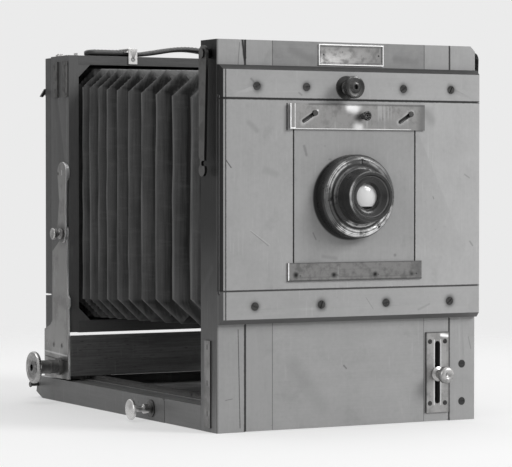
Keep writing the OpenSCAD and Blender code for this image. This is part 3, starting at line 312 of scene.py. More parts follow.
# Links the colour, a roughness that varies about its middle, and the relief
def coat(shader, colour, rough, variation, height, strength, depth):
    fill(shader["Base Color"], colour)
    fill(shader["Roughness"], plus(rough, variation, clamp=True))
    bump = linkNode("Bump", Height=height, Strength=strength, Distance=depth)
    fill(shader["Normal"], bump.outputs["Normal"])


# Marks are lists of (start, stop, half width, tone, strength), all in millimetres on the face
def markSpot(pair, keep):
    spot = [v * mm for v in pair]
    spot.insert(keep.index(0), 0)
    return spot


def addStrokes(where, colour, strokes, keep=(1, 0, 1)):
    for start, stop, width, tone, strength in strokes:
        a, b = [markSpot(pair, keep) for pair in (start, stop)]
        mask = useGroup("stroke", Vector=where, From=a, To=b, Width=width * mm, Keep=keep)["Mask"]
        colour = tint(colour, (times(mask, strength), tone))
    return colour


# Polished wood. turn lays the grain: the group's grain runs along Z
def makeWood(name, light, dark, turn=(0, 0, 0), fibre=0.5, mottle=0.5, rough=0.42, scratch=0.35, grime=0.3,
             seed=0, strokes=(), keep=(1, 0, 1), edge=None, side=None, fade=None, paintedSideLight=None, shade=None,
             sideStrokes=()):
    material, shader, coords = newMaterial(name, Specular_IOR_Level=0.3)
    where = coords["Object"]
    laid = linkNode("Mapping", Vector=where, Rotation=turn).outputs[0]
    grain = useGroup("grain", Vector=laid, Light=grey(light), Dark=grey(dark), Fibre=fibre, Mottle=mottle,
                     Seed=seed)
    wear = useGroup("wear", Vector=where, Scratch=scratch, Grime=grime)
    colour = tint(grain["Color"], (wear["Grime"], dark * 0.75), (wear["Speck"], dark * 0.35),
                  (wear["Scratch"], min(light * 1.3, 0.8)))
    if fade:  # (low, high, tone) by which the board darkens upwards
        height = ramp(axes(where)[2], fade[0] * mm, fade[1] * mm)
        colour = mix(height, colour, mix(1, colour, grey(fade[2]), "MULTIPLY"))
    if paintedSideLight:  # (left, right) factors across the front: painted light, brighter towards the right where the light falls
        sides = ramp(axes(where)[0], -0.2, 0.2, paintedSideLight[0], paintedSideLight[1])
        colour = mix(1, colour, sides, "MULTIPLY")
    colour = addStrokes(where, colour, strokes, keep)
    if shade:  # (centre, radius, softness, tone, strength) of the painted shadow that the lens flange casts on the board
        (x, z), radius, soft, tone, share = shade
        away = length(fromTo((x * mm, 0, z * mm), where, (1, 0, 1)))
        inside = ramp(away, (radius + soft) * mm, (radius - soft) * mm)
        colour = tint(colour, (times(inside, share), tone))
    if edge is not None:
        colour = tint(colour, (facing(coords, 1, 0.97, 0.8), edge))
    if side:
        colour = addSideTone(coords, colour, grain, side, sideStrokes)
    coat(shader, colour, rough, grain["Rough"], grain["Height"], 0.25, 0.0003)
    return material


# The darker side of a piece, with its tone given at several heights
def addSideTone(coords, colour, grain, side, strokes):
    height = axes(coords["Object"])[2]
    tone = grey(side[0][1])
    for (low, _), (high, level) in zip(side, side[1:]):
        tone = tint(tone, (ramp(height, low * mm, high * mm), level))
    detail = mix(0.75, grey(1), mix(grain["Height"], grey(0.6), grey(1.4)))
    tone = addStrokes(coords["Object"], mix(1, tone, detail, "MULTIPLY"), strokes, (0, 1, 1))
    return mix(facing(coords, 0, 0.6, 0.9), colour, tone)


# Brass with tarnish in soft patches and fine lines from cleaning
def makeMetal(name, tone, tarnish, rough=0.34, patches=0.6, scratch=0.6, scale=70, brushed=(1, 1, 1),
              metallic=0.9, strokes=(), keep=(1, 0, 1), edge=None):
    material, shader, coords = newMaterial(name)
    where = coords["Object"]
    cloud = noiseAt(where, scale, 5, 0.62)
    spots = ramp(cloud, 0.42, 0.66)
    fine = noiseAt(where, 1500, 3, stretch=brushed)
    wear = useGroup("wear", Vector=where, Scratch=scratch, Grime=patches)
    colour = mix(times(spots, patches), grey(tone, 0.012), grey(tarnish, 0.012))
    colour = tint(colour, (times(fine, 0.35), tone * 0.7), (wear["Scratch"], min(1, tone * 1.35)),
                  (wear["Speck"], tarnish * 0.4))
    colour = addStrokes(where, colour, strokes, keep)
    if edge is not None:  # the narrow edges of a piece that lies against a side; on the hooks they are painted dark as shade
        colour = tint(colour, (facing(coords, 0, 0.9, 0.6), edge))
    dulled = times(wear["Grime"], 0.6)
    fill(shader["Metallic"], minus(metallic, dulled, clamp=True))
    coat(shader, colour, rough, times(spots, 0.22), fine, 0.12, 0.0002)
    return material


lensCentre = (-0.0025, 0, 0.2155)


# Lacquered lens brass: black where the lacquer holds, bright in crescents that are partly lacquer worn off
# and partly painted highlight
def makeLensMetal(name, black, worn, patches, rings, strokes=(), rough=0.3):
    material, shader, coords = newMaterial(name)
    where = coords["Object"]
    out = fromTo(lensCentre, where, (1, 0, 1))
    radius = length(out)
    heading = vectors("NORMALIZE", out)
    front = ramp(times(axes(coords["Normal"])[1], -1), 0.35, 0.7)
    cloud = noiseAt(where, 95, 5, 0.65)
    fine = noiseAt(where, 900, 2)
    sweep = vectors("ADD", vectors("MULTIPLY", heading, 1.2), radius)
    turned = noiseAt(sweep, 3, 5, 0.7)
    circles = linkNode("TexWave", {"wave_type": "RINGS", "rings_direction": "SPHERICAL"}, Vector=out,
                       Scale=230, Distortion=1.5, Detail=2).outputs["Fac"]
    colour = mix(fine, grey(black * 0.7), grey(black * 1.5))
    face = times(front, ramp(turned, 0.35, 0.65, 0.35, 1))
    colour = tint(colour, (times(circles, 0.4), black * 2.4),
                  (times(face, ramp(radius, 0.029, 0.031)), 0.075))
    metal = None
    for angle, spread, inner, outer, strength in patches:
        lead = (cos(radians(angle)), 0, sin(radians(angle)))
        turned = ramp(vectors("DOT_PRODUCT", heading, lead, out=1), cos(radians(spread)),
                      cos(radians(spread * 0.45)))
        band = times(ramp(radius, (inner - 0.8) * mm, (inner + 0.8) * mm),
                     ramp(radius, (outer + 0.8) * mm, (outer - 0.8) * mm))
        torn = centred(plus(cloud, centred(circles, 0.25)), 2.6)
        mask = ramp(plus(turned, torn), 0.4, 1.25)
        mask = times(mask, times(times(band, front), strength))
        metal = mask if metal is None else maths("MAXIMUM", metal, mask)
    colour = mix(metal, colour, mix(fine, grey(worn), grey(worn * 0.8)))
    for at, width, tone, strength in rings:
        off = maths("ABSOLUTE", minus(radius, at * mm))
        ring = times(ramp(off, width * mm, width * 0.4 * mm), front)
        colour = tint(colour, (times(ring, strength), tone))
    colour = addStrokes(where, colour, strokes)
    fill(shader["Metallic"], times(metal, 0.85))
    threads = linkNode("TexWave", {"bands_direction": "Y"}, Vector=where, Scale=260).outputs["Fac"]
    lines = times(threads, facing(coords, 1, 0.5, 0.2))
    coat(shader, colour, rough, centred(cloud, 0.3), lines, 0.5, 0.0003)
    return material


# Folded cloth: the ridge attribute is 1 on an outer fold and 0 in a valley. The cloth is painted darker
# towards each valley as shade, and lighter along the ridges, partly rubbed wear and partly painted highlight
def makeBellowsCloth(name, light, dark, rubbedAndShine):
    material, shader, coords = newMaterial(name, Specular_IOR_Level=0.14, Sheen_Weight=0.04)
    where = coords["Object"]
    folds = material.node_tree.nodes.new("ShaderNodeAttribute")
    folds.attribute_name = "ridge"
    ridge = folds.outputs["Fac"]
    creases = ramp(noiseAt(where, 55, 4, 0.6, stretch=(0.5, 0.5, 3.2)), 0.52, 0.7)
    weave = noiseAt(where, 700, 2, stretch=(2, 2, 1))
    streaks = noiseAt(where, 240, 3, 0.65, stretch=(1, 1, 0.05))
    cloud = noiseAt(where, 26, 4)
    level = maths("POWER", ridge, 1.25)
    share = plus(maths("POWER", level, 0.8), centred(creases, 0.12))
    share = plus(share, centred(streaks, 0.95))
    share = plus(share, centred(cloud, 0.6), clamp=True)
    worn = times(ramp(ridge, 0.86, 1), ramp(streaks, 0.3, 0.6))
    colour = tint(mix(share, grey(dark), grey(light)), (worn, rubbedAndShine), (times(weave, 0.35), dark))
    height = plus(times(weave, 0.4), times(streaks, 0.9))
    coat(shader, colour, 0.5, centred(cloud, 0.3), height, 0.6, 0.0007)
    return material


# Leather with a pebbled grain
def makeLeather(name, light, dark):
    material, shader, coords = newMaterial(name, Specular_IOR_Level=0.4)
    where = coords["Object"]
    cells = linkNode("TexVoronoi", {"feature": "DISTANCE_TO_EDGE"}, Vector=where, Scale=900)
    pebble = ramp(cells.outputs["Distance"], 0, 0.25)
    cloud = noiseAt(where, 60, 4, 0.6)
    share = plus(times(pebble, 0.5), centred(cloud, 1.2), clamp=True)
    colour = mix(share, grey(dark), grey(light))
    edge = ramp(axes(coords["Normal"])[2], -0.75, -0.15)
    colour = mix(edge, grey(dark * 0.5), colour)
    coat(shader, colour, 0.38, centred(cloud, 0.3), pebble, 0.35, 0.0002)
    return material


def makeGlass(name, tone, rough, alpha, ledge=None):
    material, shader, coords = newMaterial(name, Roughness=rough, Alpha=alpha, IOR=1.5)
    dust = ramp(noiseAt(coords["Object"], 160, 4), 0.5, 0.75)
    pale = mix(times(dust, 0.25), grey(tone), grey(tone * 0.8))
    if ledge:  # the dark edge of the stop that shows at the foot of the glass
        low = ramp(axes(coords["Object"])[2], (ledge + 0.2) * mm, (ledge - 0.2) * mm)
        pale = tint(pale, (low, 0.02))
    fill(shader["Base Color"], pale)
    return material


# Where the screws of the front go, each with its turn, and how they are made
screwSetting = {
    "slot": 0.1, "depth": 0.75, "sides": 24, "rim": 0.35, "dome": 0.18, "proud": 0.1,
    "cleatHead": 7.6, "cleatFace": -80,
    "upper": (316.5, ((-104, 25), (-52, 8), (53, 35), (106, 60))),
    "lower": (115.5, ((-106, -20), (-36, 70), (34, 10), (105, 40))),
    "plateHead": 4.6, "plateFace": -71.5,
    "platePlaces": ((88.5, 17.5), (105.5, 17.5), (88.5, 76.5), (105.5, 76.5)),
    "washer": [(2.6, 0), (2.6, 1), (10.6, 1), (11, 0.7), (11, 0)], "washerAt": (-9.5, -80, 316.5),
}


# Kinds of mark on a face, in millimetres, each with its half width, tone and strength
def dot(x, z, *look):
    return (x, z), (x, z), *look


def upLine(x, low, high, *look):
    return (x, low), (x, high), *look


def crossLine(z, left, right, *look):
    return (left, z), (right, z), *look


def mirrored(*lines):
    return [((s * a, low), (s * b, high), *look) for (a, low), (b, high), *look in lines for s in (-1, 1)]


def bevelLines(low, high):
    return [upLine(-136.1, low, high, 0.95, 0.03, 0.95), upLine(-138, low, high, 1, 0.28, 0.5)]


def screwRings(row):
    height, places = screwSetting[row]
    return [dot(x, height, size, 0.03, share) for x, turn in places for size, share in ((7.6, 1), (11, 0.2))]


slotShadows = [((-57, 284.5), (-42.6, 293.5), 3.4, 0.02, 1), ((47, 284.5), (61.4, 293.5), 3.4, 0.02, 1)]

# Marks read off the photograph, under the finish that shows them
marks = {
    "leftStileWood": [
        upLine(-111.2, 0, 98, 1.3, 0.02, 0.95), upLine(-111.2, 336, 359, 1.3, 0.02, 0.95),
        ((-113.6, 359), (-111.4, 340), 1.7, 0.012, 1), ((-118.1, 94), (-116.1, 4), 0.7, 0.07, 0.8),
        ((-118.1, 336), (-116.6, 356), 0.5, 0.1, 0.7), ((-134, 22), (-122, 19), 6, 0.42, 0.35),
        ((-131, 30), (-124, 31), 0.6, 0.12, 0.5), upLine(-139.4, 0, 359, 1.5, 0.12, 0.6),
    ],
    "rightStileWood": [
        upLine(111.2, 0, 98, 1.2, 0.03, 0.9), upLine(111.2, 336, 359, 1, 0.03, 0.9),
        dot(125.5, 18, 6, 0.15, 0.4), dot(125.5, 54, 6, 0.15, 0.4), ((133, 80), (136, 68), 0.6, 0.14, 0.5),
    ],
    "risingWood": [
        *mirrored(upLine(82.4, 0, 100, 0.7, 0.12, 0.7), upLine(82.4, 336, 359, 0.7, 0.1, 0.8)),
        ((-6, 57), (-3.4, 54.5), 1.2, 0.1, 0.6), ((-62, 351), (-40, 342), 7, 0.17, 0.35),
        ((50, 345), (72, 342), 6, 0.17, 0.35), ((20, 70), (45, 30), 0.5, 0.44, 0.4),
        ((-60, 60), (-30, 20), 14, 0.3, 0.35),
    ],
    "clampWood": [
        upLine(-110.4, 0, 359, 0.9, 0.02, 0.95), upLine(110.4, 0, 359, 0.8, 0.03, 0.9),
        ((-110.6, 359), (-110.4, 342), 1.3, 0.012, 1),
    ],
    "upperCleatWood": [
        # The line at 305.6 along the foot of the cleat is a dark joint deepened with painted shade
        *screwRings("upper"), *bevelLines(305, 332), crossLine(305.6, -140, 140, 0.8, 0.01, 0.95),
        ((-110, 323), (-107.5, 320.5), 1.4, 0.18, 0.6), ((-60, 311), (-57, 309), 1.2, 0.2, 0.5),
        # The broad ring round the clamp knob is painted shadow of the knob and its washer
        dot(-9.5, 316.5, 14.5, 0.15, 0.45),
    ],
    "panelWood": [
        # The line at 304.7 under the upper cleat is a dark joint deepened with painted shadow of the cleat
        *slotShadows, *bevelLines(127, 308), crossLine(304.7, -140, 140, 1.1, 0.01, 0.95),
        crossLine(130.3, -140, 140, 0.7, 0.05, 0.9), *mirrored(upLine(65.9, 150, 281, 0.9, 0.012, 1)),
        ((-111, 185.4), (-90.4, 171.4), 0.45, 0.6, 0.5), ((-110.5, 184.2), (-92, 170.6), 0.4, 0.12, 0.6),
        ((-136.2, 249.5), (-130.5, 242.2), 0.8, 0.05, 0.8), ((79.5, 293.5), (84, 287.5), 8.5, 0.25, 0.5),
        ((-112, 283), (-104, 276), 4, 0.27, 0.4), ((-95, 240), (-84, 236), 5, 0.28, 0.35),
        ((-120, 262), (-112, 160), 9, 0.46, 0.22), ((128, 172), (131, 168), 1.3, 0.2, 0.5),
        ((122, 236), (127, 233), 1.1, 0.2, 0.45), ((86, 215), (87, 213), 0.8, 0.12, 0.5),
        # The dark line at -72.6 is painted shadow beside the bent lip of the catch plate
        upLine(-72.6, 277, 301, 1, 0.015, 0.95), ((-82, 178), (-76, 150), 0.5, 0.5, 0.35),
    ],
    "lensBoardWood": [
        *slotShadows, *mirrored(upLine(65.3, 150, 281, 0.6, 0.012, 1)), dot(43.8, 160.2, 2.3, 0.12, 0.5),
        upLine(-60, 158, 276, 2.6, 0.42, 0.4), ((-54.5, 262), (-52, 254), 2.2, 0.17, 0.5),
        crossLine(250, -28, -26, 1.2, 0.15, 0.4), ((57, 160), (58, 270), 3.2, 0.42, 0.3),
        # The wide dark mark round the lens, set down and left of it, is painted soft shade of the flange
        ((-4, 222), (-10, 202), 46, 0.2, 0.45), ((-45, 182), (-42, 176), 1, 0.14, 0.5),
        ((-34, 160), (-20, 158), 3, 0.24, 0.4),
    ],
    "lowerCleatWood": [
        *screwRings("lower"), *bevelLines(103, 130), crossLine(129.4, -140, 140, 0.6, 0.05, 0.9),
        ((12, 121), (20, 110), 0.5, 0.2, 0.5), ((70, 108), (82, 113), 1.5, 0.25, 0.4),
    ],
    "catchBrass": [
        # The two bright spots near the top of the plate are painted highlights
        ((-7, 298.5), (0, 297), 8, 0.8, 0.85), ((4, 280), (1, 281), 7, 0.8, 0.7),
        crossLine(278.1, -64, 60, 0.5, 0.8, 0.8), upLine(-70.7, 278, 301, 0.9, 1, 0.95),
        upLine(-65.2, 279, 301, 0.6, 0.95, 0.7), crossLine(278.6, -70, -65, 0.8, 1, 0.9),
        ((-56, 284.5), (-43, 292.6), 4.6, 0.62, 0.5), ((47, 284.5), (61.4, 293.5), 4.6, 0.62, 0.5),
        ((-44, 291), (-41, 295), 1.4, 0.9, 0.7), ((73, 278), (74, 301), 9, 0.13, 0.8),
        # The line at 300.8 along the top of the plate is painted shadow of the upper cleat
        crossLine(300.8, -50, 74, 1.5, 0.1, 0.7), ((24, 284), (60, 281), 6, 0.22, 0.5),
    ],
    "stripBrass": [
        dot(-63.9, 143.4, 4.4, 0.02, 1), dot(-23.5, 142.9, 4.2, 0.02, 1), dot(21.1, 142.6, 4.2, 0.02, 1),
        dot(61.4, 142.2, 4.4, 0.04, 0.9), crossLine(138, -72, 72, 0.9, 0.06, 0.8),
        crossLine(154.2, -72, 72, 0.7, 0.08, 0.7), ((68, 140), (69, 152), 7, 0.12, 0.7),
        upLine(-71.6, 139, 154, 0.9, 0.85, 0.9), crossLine(141, -62, 64, 0.6, 0.1, 0.4),
        ((-40, 147), (30, 148.5), 0.5, 0.12, 0.3),
    ],
    "slotBrass": [
        upLine(93.3, 16, 78, 0.7, 0.8, 0.8), upLine(100.7, 16, 78, 0.7, 0.8, 0.6),
        upLine(97, 32, 60, 9, 0.5, 0.3), upLine(84.4, 9, 85, 1.1, 0.05, 0.8),
        ((101, 82.5), (108.5, 81.5), 2.2, 0.95, 0.9), crossLine(85.2, 84, 110, 0.9, 0.05, 0.8),
        upLine(109.6, 9, 85, 0.7, 0.1, 0.6),
    ],
    "bareBrass": [
        *[upLine(x, 338, 357, 0.8, 0.9, 1) for x in (-33.6, 36)],
        *[crossLine(z, -33, 36, 0.7, 0.9, 1) for z in (337.9, 356.6)],
        *[upLine(x, 340, 355, 0.5, 0.08, 0.7) for x in (-31.6, 34)],
        *[crossLine(z, -31, 34, 0.5, 0.08, 0.7) for z in (339.8, 354.7)],
        *[dot(x, 347.2, 1.3, 0.02, 1) for x in (-28.5, 31)],
    ],
    "trackWood": mirrored(*[upLine(x, -38, 322, width, tone, 0.85) for x, width, tone in
                            ((95.4, 1.3, 0.42), (117.4, 1, 0.3), (100, 2.5, 0.03))]),
    "cheekBrass": [
        dot(295.9, 58.8, 3.8, 0.02, 1), dot(275.5, 58.9, 3.8, 0.02, 1), upLine(268, 44, 28, 14, 0.06, 0.8),
        ((318, 51), (262, 49), 1.3, 0.75, 0.6), ((318, 46), (262, 43), 0.9, 0.03, 0.7),
        dot(271, 175, 15, 0.04, 0.9), dot(279, 237, 2.6, 0.03, 0.9),
    ],
    "lockBrass": mirrored(crossLine(11.5, 152.6, 136, 5.6, 0.08, 0.85)),
    "dishBrass": [dot(280, 37, 17, 0.09, 0.9), dot(280, 37, 4, 0.02, 1)],
    "brightBrass": mirrored(dot(66.5, 355.8, 3.6, 0.02, 1), dot(66.5, 355.8, 1.4, 0.5, 1)),
    "flangeBlack": [
        dot(-0.1, 244.4, 3.6, 0.006, 1), dot(-33, 213.7, 3, 0.006, 0.9), dot(17.6, 187.6, 3.4, 0.01, 1),
        # The bright stroke beside the lower screw is a painted highlight
        ((16, 187), (18.6, 189), 0.6, 0.6, 0.8),
    ],
}
# The stiles' outer sides: a darker stain, with a painted dark reflection that deepens upwards, so they are
# paler near the foot: height and tone
stileSide = [(8, 0.24), (48, 0.15), (105, 0.11), (150, 0.055), (192, 0.018), (359, 0.014)]
# The pale line along the front corner of the side is partly wear and partly painted highlight
stileSideMarks = [upLine(-69.4, 0, 359, 0.8, 0.1, 0.7), ((-45, 300), (-48, 200), 1, 0.012, 0.5),
                  ((-52, 120), (-50, 96), 0.5, 0.2, 0.4), ((-60, 150), (-44, 132), 5, 0.12, 0.3)]
alongY = (radians(90), 0, 0)
alongX = (0, radians(90), 0)

woods = {
    "leftStileWood": dict(light=0.45, dark=0.33, fibre=0.35, mottle=0.8, scratch=0.1, edge=0.09,
                          side=stileSide, sideStrokes=stileSideMarks, seed=3.1),
    "rightStileWood": dict(light=0.49, dark=0.38, fibre=0.35, mottle=0.8, scratch=0.1, edge=0.09,
                           side=stileSide, seed=5.7),
    "risingWood": dict(light=0.47, dark=0.35, fibre=0.35, mottle=0.9, scratch=0.15, paintedSideLight=(0.95, 1.07),
                       edge=0.1, fade=(120, 330, 0.76), seed=1.3, turn=alongX),
    "clampWood": dict(light=0.46, dark=0.36, fibre=0.4, mottle=0.7, scratch=0.1, paintedSideLight=(0.95, 1.07),
                      edge=0.1, seed=8.2),
    "upperCleatWood": dict(light=0.48, dark=0.37, fibre=0.3, mottle=0.8, edge=0.02, scratch=0.15,
                           paintedSideLight=(0.96, 1.12), seed=2.4, turn=alongX),
    "lowerCleatWood": dict(light=0.48, dark=0.37, fibre=0.3, mottle=0.8, edge=0.13, scratch=0.15,
                           paintedSideLight=(0.96, 1.1), seed=6.6, turn=alongX),
    "panelWood": dict(light=0.49, dark=0.37, fibre=0.3, mottle=0.9, edge=0.02, scratch=0.15,
                      paintedSideLight=(0.95, 1.2), seed=4.9),
    # The lens board's shade entry is the painted shadow of the lens flange
    "lensBoardWood": dict(light=0.46, dark=0.34, fibre=0.4, mottle=0.9, edge=0.05, scratch=0.15, seed=9.5,
                          shade=((-5.8, 214.2), 39.3, 1, 0.02, 0.95)),
    "railWood": dict(light=0.225, dark=0.15, turn=alongY, fibre=0.6, mottle=0.4, rough=0.36, seed=2.2),
    "bedWood": dict(light=0.25, dark=0.17, turn=alongY, fibre=0.6, mottle=0.4, rough=0.36, seed=7.2),
    "trackWood": dict(light=0.16, dark=0.08, turn=alongY, fibre=0.7, rough=0.34, seed=1.9, keep=(1, 1, 0)),
    "crossWood": dict(light=0.13, dark=0.07, turn=alongX, fibre=0.8, rough=0.4, seed=3.3),
    "floorWood": dict(light=0.06, dark=0.025, turn=alongX, fibre=0.9, rough=0.45, seed=5.2),
    "carriageWood": dict(light=0.2, dark=0.07, turn=alongX, fibre=1.2, seed=6.1),
    "rearWood": dict(light=0.155, dark=0.095, fibre=0.6, mottle=0.4, rough=0.38, seed=8.8),
}
metals = {
    "plateBrass": dict(tone=0.4, tarnish=0.24, rough=0.4),
    "catchBrass": dict(tone=0.27, tarnish=0.17, rough=0.36, patches=0.8, scale=110),
    "stripBrass": dict(tone=0.21, tarnish=0.12, rough=0.42, patches=0.8, scale=110),
    "slotBrass": dict(tone=0.36, tarnish=0.2, rough=0.38, patches=0.7),
    "bareBrass": dict(tone=0.21, tarnish=0.13, rough=0.4, patches=0.5, scale=150, brushed=(0.1, 1, 1)),
    "cheekBrass": dict(tone=0.36, tarnish=0.23, rough=0.4, scale=45, edge=0.85, keep=(0, 1, 1)),
    "sideBrass": dict(tone=0.3, tarnish=0.18, rough=0.4, scale=45, edge=0.05),
    "brightBrass": dict(tone=0.8, tarnish=0.5, rough=0.22, patches=0.35),
    "lockBrass": dict(tone=0.8, tarnish=0.5, rough=0.22, patches=0.35),
    "rackBrass": dict(tone=0.16, tarnish=0.1, rough=0.6, patches=0.2, scratch=0, metallic=0.4),
    "knobBrass": dict(tone=0.48, tarnish=0.16, rough=0.26, scale=140),
    "dishBrass": dict(tone=0.5, tarnish=0.2, rough=0.26, patches=0.5, scale=140, keep=(0, 1, 1)),
    "darkBrass": dict(tone=0.09, tarnish=0.03, rough=0.25, patches=0.7, scale=160),
    "screwSteel": dict(tone=0.06, tarnish=0.02, rough=0.4, patches=0.7, scale=200, metallic=0.75),
    # The hooks' edge tone is painted shade
    "hookSteel": dict(tone=0.17, tarnish=0.1, rough=0.42, edge=0.01),
    "oldBrass": dict(tone=0.17, tarnish=0.09, rough=0.4, patches=0.7, scale=120),
}
# Patches are bright crescents, partly wear and partly painted highlight: (angle, spread, inner, outer,
# strength), rings are (radius, half width, tone, strength)
lensMetals = {
    "flangeBlack": dict(
        black=0.014, worn=0.9, rings=[(33.6, 0.45, 0.008, 0.9), (30.2, 0.7, 0.008, 0.9),
                                      (38.5, 1.2, 0.012, 1)],
        patches=[(142, 40, 31.5, 36.5, 0.75), (-78, 70, 31, 38, 1), (-45, 40, 31, 38, 1),
                 (62, 40, 31, 37, 0.2), (195, 40, 31, 38, 0.15)]),
    "barrelBlack": dict(
        black=0.014, worn=0.7, rings=[(18.8, 0.5, 0.16, 0.8), (23.2, 0.35, 0.2, 0.5),
                                      (26.6, 0.4, 0.006, 0.9)],
        patches=[(-85, 55, 25.5, 29.5, 0.8), (180, 50, 21.4, 23.6, 0.75), (150, 60, 25, 29, 0.25)]),
}
materials = {}
for make, finishes in ((makeWood, woods), (makeMetal, metals), (makeLensMetal, lensMetals)):
    for name, values in finishes.items():
        materials[name] = make(name, strokes=marks.get(name, ()), **values)
materials["bellowsCloth"] = makeBellowsCloth("bellowsCloth", 0.15, 0.008, 0.25)
materials["handleLeather"] = makeLeather("handleLeather", 0.13, 0.05)
materials["lensGlass"] = makeGlass("lensGlass", 0.9, 0.12, 1, ledge=206.4)
materials["groundGlass"] = makeGlass("groundGlass", 0.8, 0.5, 0.85)
print("materials made:", len(materials))


def addObject(name, bm, materialName, body, replaced=(), smooth=32, recalc=True):
    if recalc:
        bmesh.ops.recalc_face_normals(bm, faces=bm.faces)
    mesh = bpy.data.meshes.new(name)
    bm.to_mesh(mesh)
    bm.free()
    mesh.shade_smooth()
    mesh.set_sharp_from_angle(angle=radians(smooth))
    mesh.materials.append(materials[materialName])
    piece = addToScene(name, mesh)
    if body:
        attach(piece, body)
    if replaced:
        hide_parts(*replaced)
    return piece


# Small changes of shape that the photograph shows: (what is tested, what is set), in millimetres
reshaping = {"rear_rails": {"below": 74, "sunk": 72.7}}
for name in ("cross_panel", "upper_cleat", "lower_cleat"):
    reshaping[name] = {"face": -79.5, "from": 134.5, "to": 138.6}
for name in ("carriage_boards", "carriage_blocks"):
    reshaping[name] = {"behind": 262, "above": 66, "lowered": 65.6}
easing = {"merge": 2e-6, "flat": 0.6, "segments": 2, "corner": 40}


def reshape(bm, change):
    for vertex in bm.verts:
        x, y, z = vertex.co / mm
        if "face" in change and y < change["face"] and abs(x) > change["from"]:
            vertex.co.x = change["to"] * mm * (1 if x > 0 else -1)
        if "behind" in change and y > change["behind"] and z > change["above"]:
            vertex.co.z = change["lowered"] * mm
        if "sunk" in change and z < change["below"]:
            vertex.co.z = change["sunk"] * mm


def onlyVerts(parts):
    return [v for v in parts if isinstance(v, bmesh.types.BMVert)]


# Rigid nodes keep their shape and get eased edges: a copy is merged, tidied and bevelled
def dressNode(name, materialName, edge):
    source = frame["nodes"][name]
    bm = bmesh.new()
    bm.from_mesh(source.data)
    reshape(bm, reshaping.get(name, {}))
    bmesh.ops.remove_doubles(bm, verts=bm.verts, dist=easing["merge"])
    bmesh.ops.dissolve_limit(bm, angle_limit=radians(easing["flat"]), verts=bm.verts, edges=bm.edges)
    piece = addObject("dressed_" + name, bm, materialName, source["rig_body"], [name], recalc=False)
    bevel = piece.modifiers.new("bevel", "BEVEL")
    bevel.width = edge * mm
    bevel.segments = easing["segments"]
    bevel.limit_method = "ANGLE"
    bevel.angle_limit = radians(easing["corner"])
    bevel.harden_normals = True


dressing = {
    "front_wood": {
        "leftStileWood": {"front_stile_left": 0.8}, "rightStileWood": {"front_stile_right": 0.8},
        "risingWood": {"rising_board": 0.4}, "clampWood": {"board_clamps": 0.4},
        "upperCleatWood": {"upper_cleat": 0.4}, "lowerCleatWood": {"lower_cleat": 0.4},
        "panelWood": {"cross_panel": 0.5}, "lensBoardWood": {"lens_board": 0.3},
    },
    "side_wood": {
        "crossWood": {"front_top_rail": 0.4, "front_bottom_rail": 0.4, "tailboard_end_rail": 0.6,
                      "rear_rails": 0.2, "screen_frame": 0.6},
        "railWood": {"tailboard_rails": 0.9}, "bedWood": {"bed_rails": 0.7},
        "trackWood": {"tracks": 0.4, "carriage_blocks": 0.4}, "rearWood": {"rear_stiles": 0.8},
    },
    "inner_wood": {
        "floorWood": {"bed_floor": 0.3, "tailboard_floor": 0.3, "plate_frame": 0.4},
        "carriageWood": {"carriage_boards": 0.15},
    },
    "brass": {
        "plateBrass": {"tripod_bush": 0.3, "tailboard_hinges": 0.15, "carriage_runners": 0.2,
                       "screen_hinges": 0.2},
        "bareBrass": {"top_plate": 0.15}, "slotBrass": {"rise_slot_plate": 0.15},
        "stripBrass": {"lens_board_strip": 0.15}, "catchBrass": {"catch_plate": 0.15},
        "sideBrass": {"side_strips": 0.15}, "cheekBrass": {"cheek_plates": 0.25, "swing_links": 0.25},
        "oldBrass": {"rear_fittings": 0.2, "shaft_housings": 0.3},
        "hookSteel": {"hook_left": 0.3, "hook_right": 0.3},
        "knobBrass": {"rise_lock_stud": 0.2, "swing_screw_left": 0.3, "swing_screw_right": 0.3},
        "rackBrass": {"racks": 0},
        "brightBrass": {"handle_staples": 0.2, "back_catch_left": 0.2, "back_catch_right": 0.2},
    },
    "dark_metal": {
        "darkBrass": {"tailboard_fittings": 0.2, "catch_knob": 0.2, "catch_pins": 0.15, "pinion_shaft": 0},
        "flangeBlack": {"lens_flange": 0.3}, "barrelBlack": {"lens_barrel": 0.2},
    },
    "lens_glass": {"lensGlass": {"lens_glasses": 0}},
    "ground_glass": {"groundGlass": {"focusing_screen": 0}},
}
for slot, kinds in dressing.items():
    for materialName, members in kinds.items():
        for name, edge in members.items():
            if edge:
                dressNode(name, materialName, edge)
            else:
                part = frame["nodes"][name]
                part.data.materials.clear()
                part.data.materials.append(materials[materialName])
print("nodes dressed")


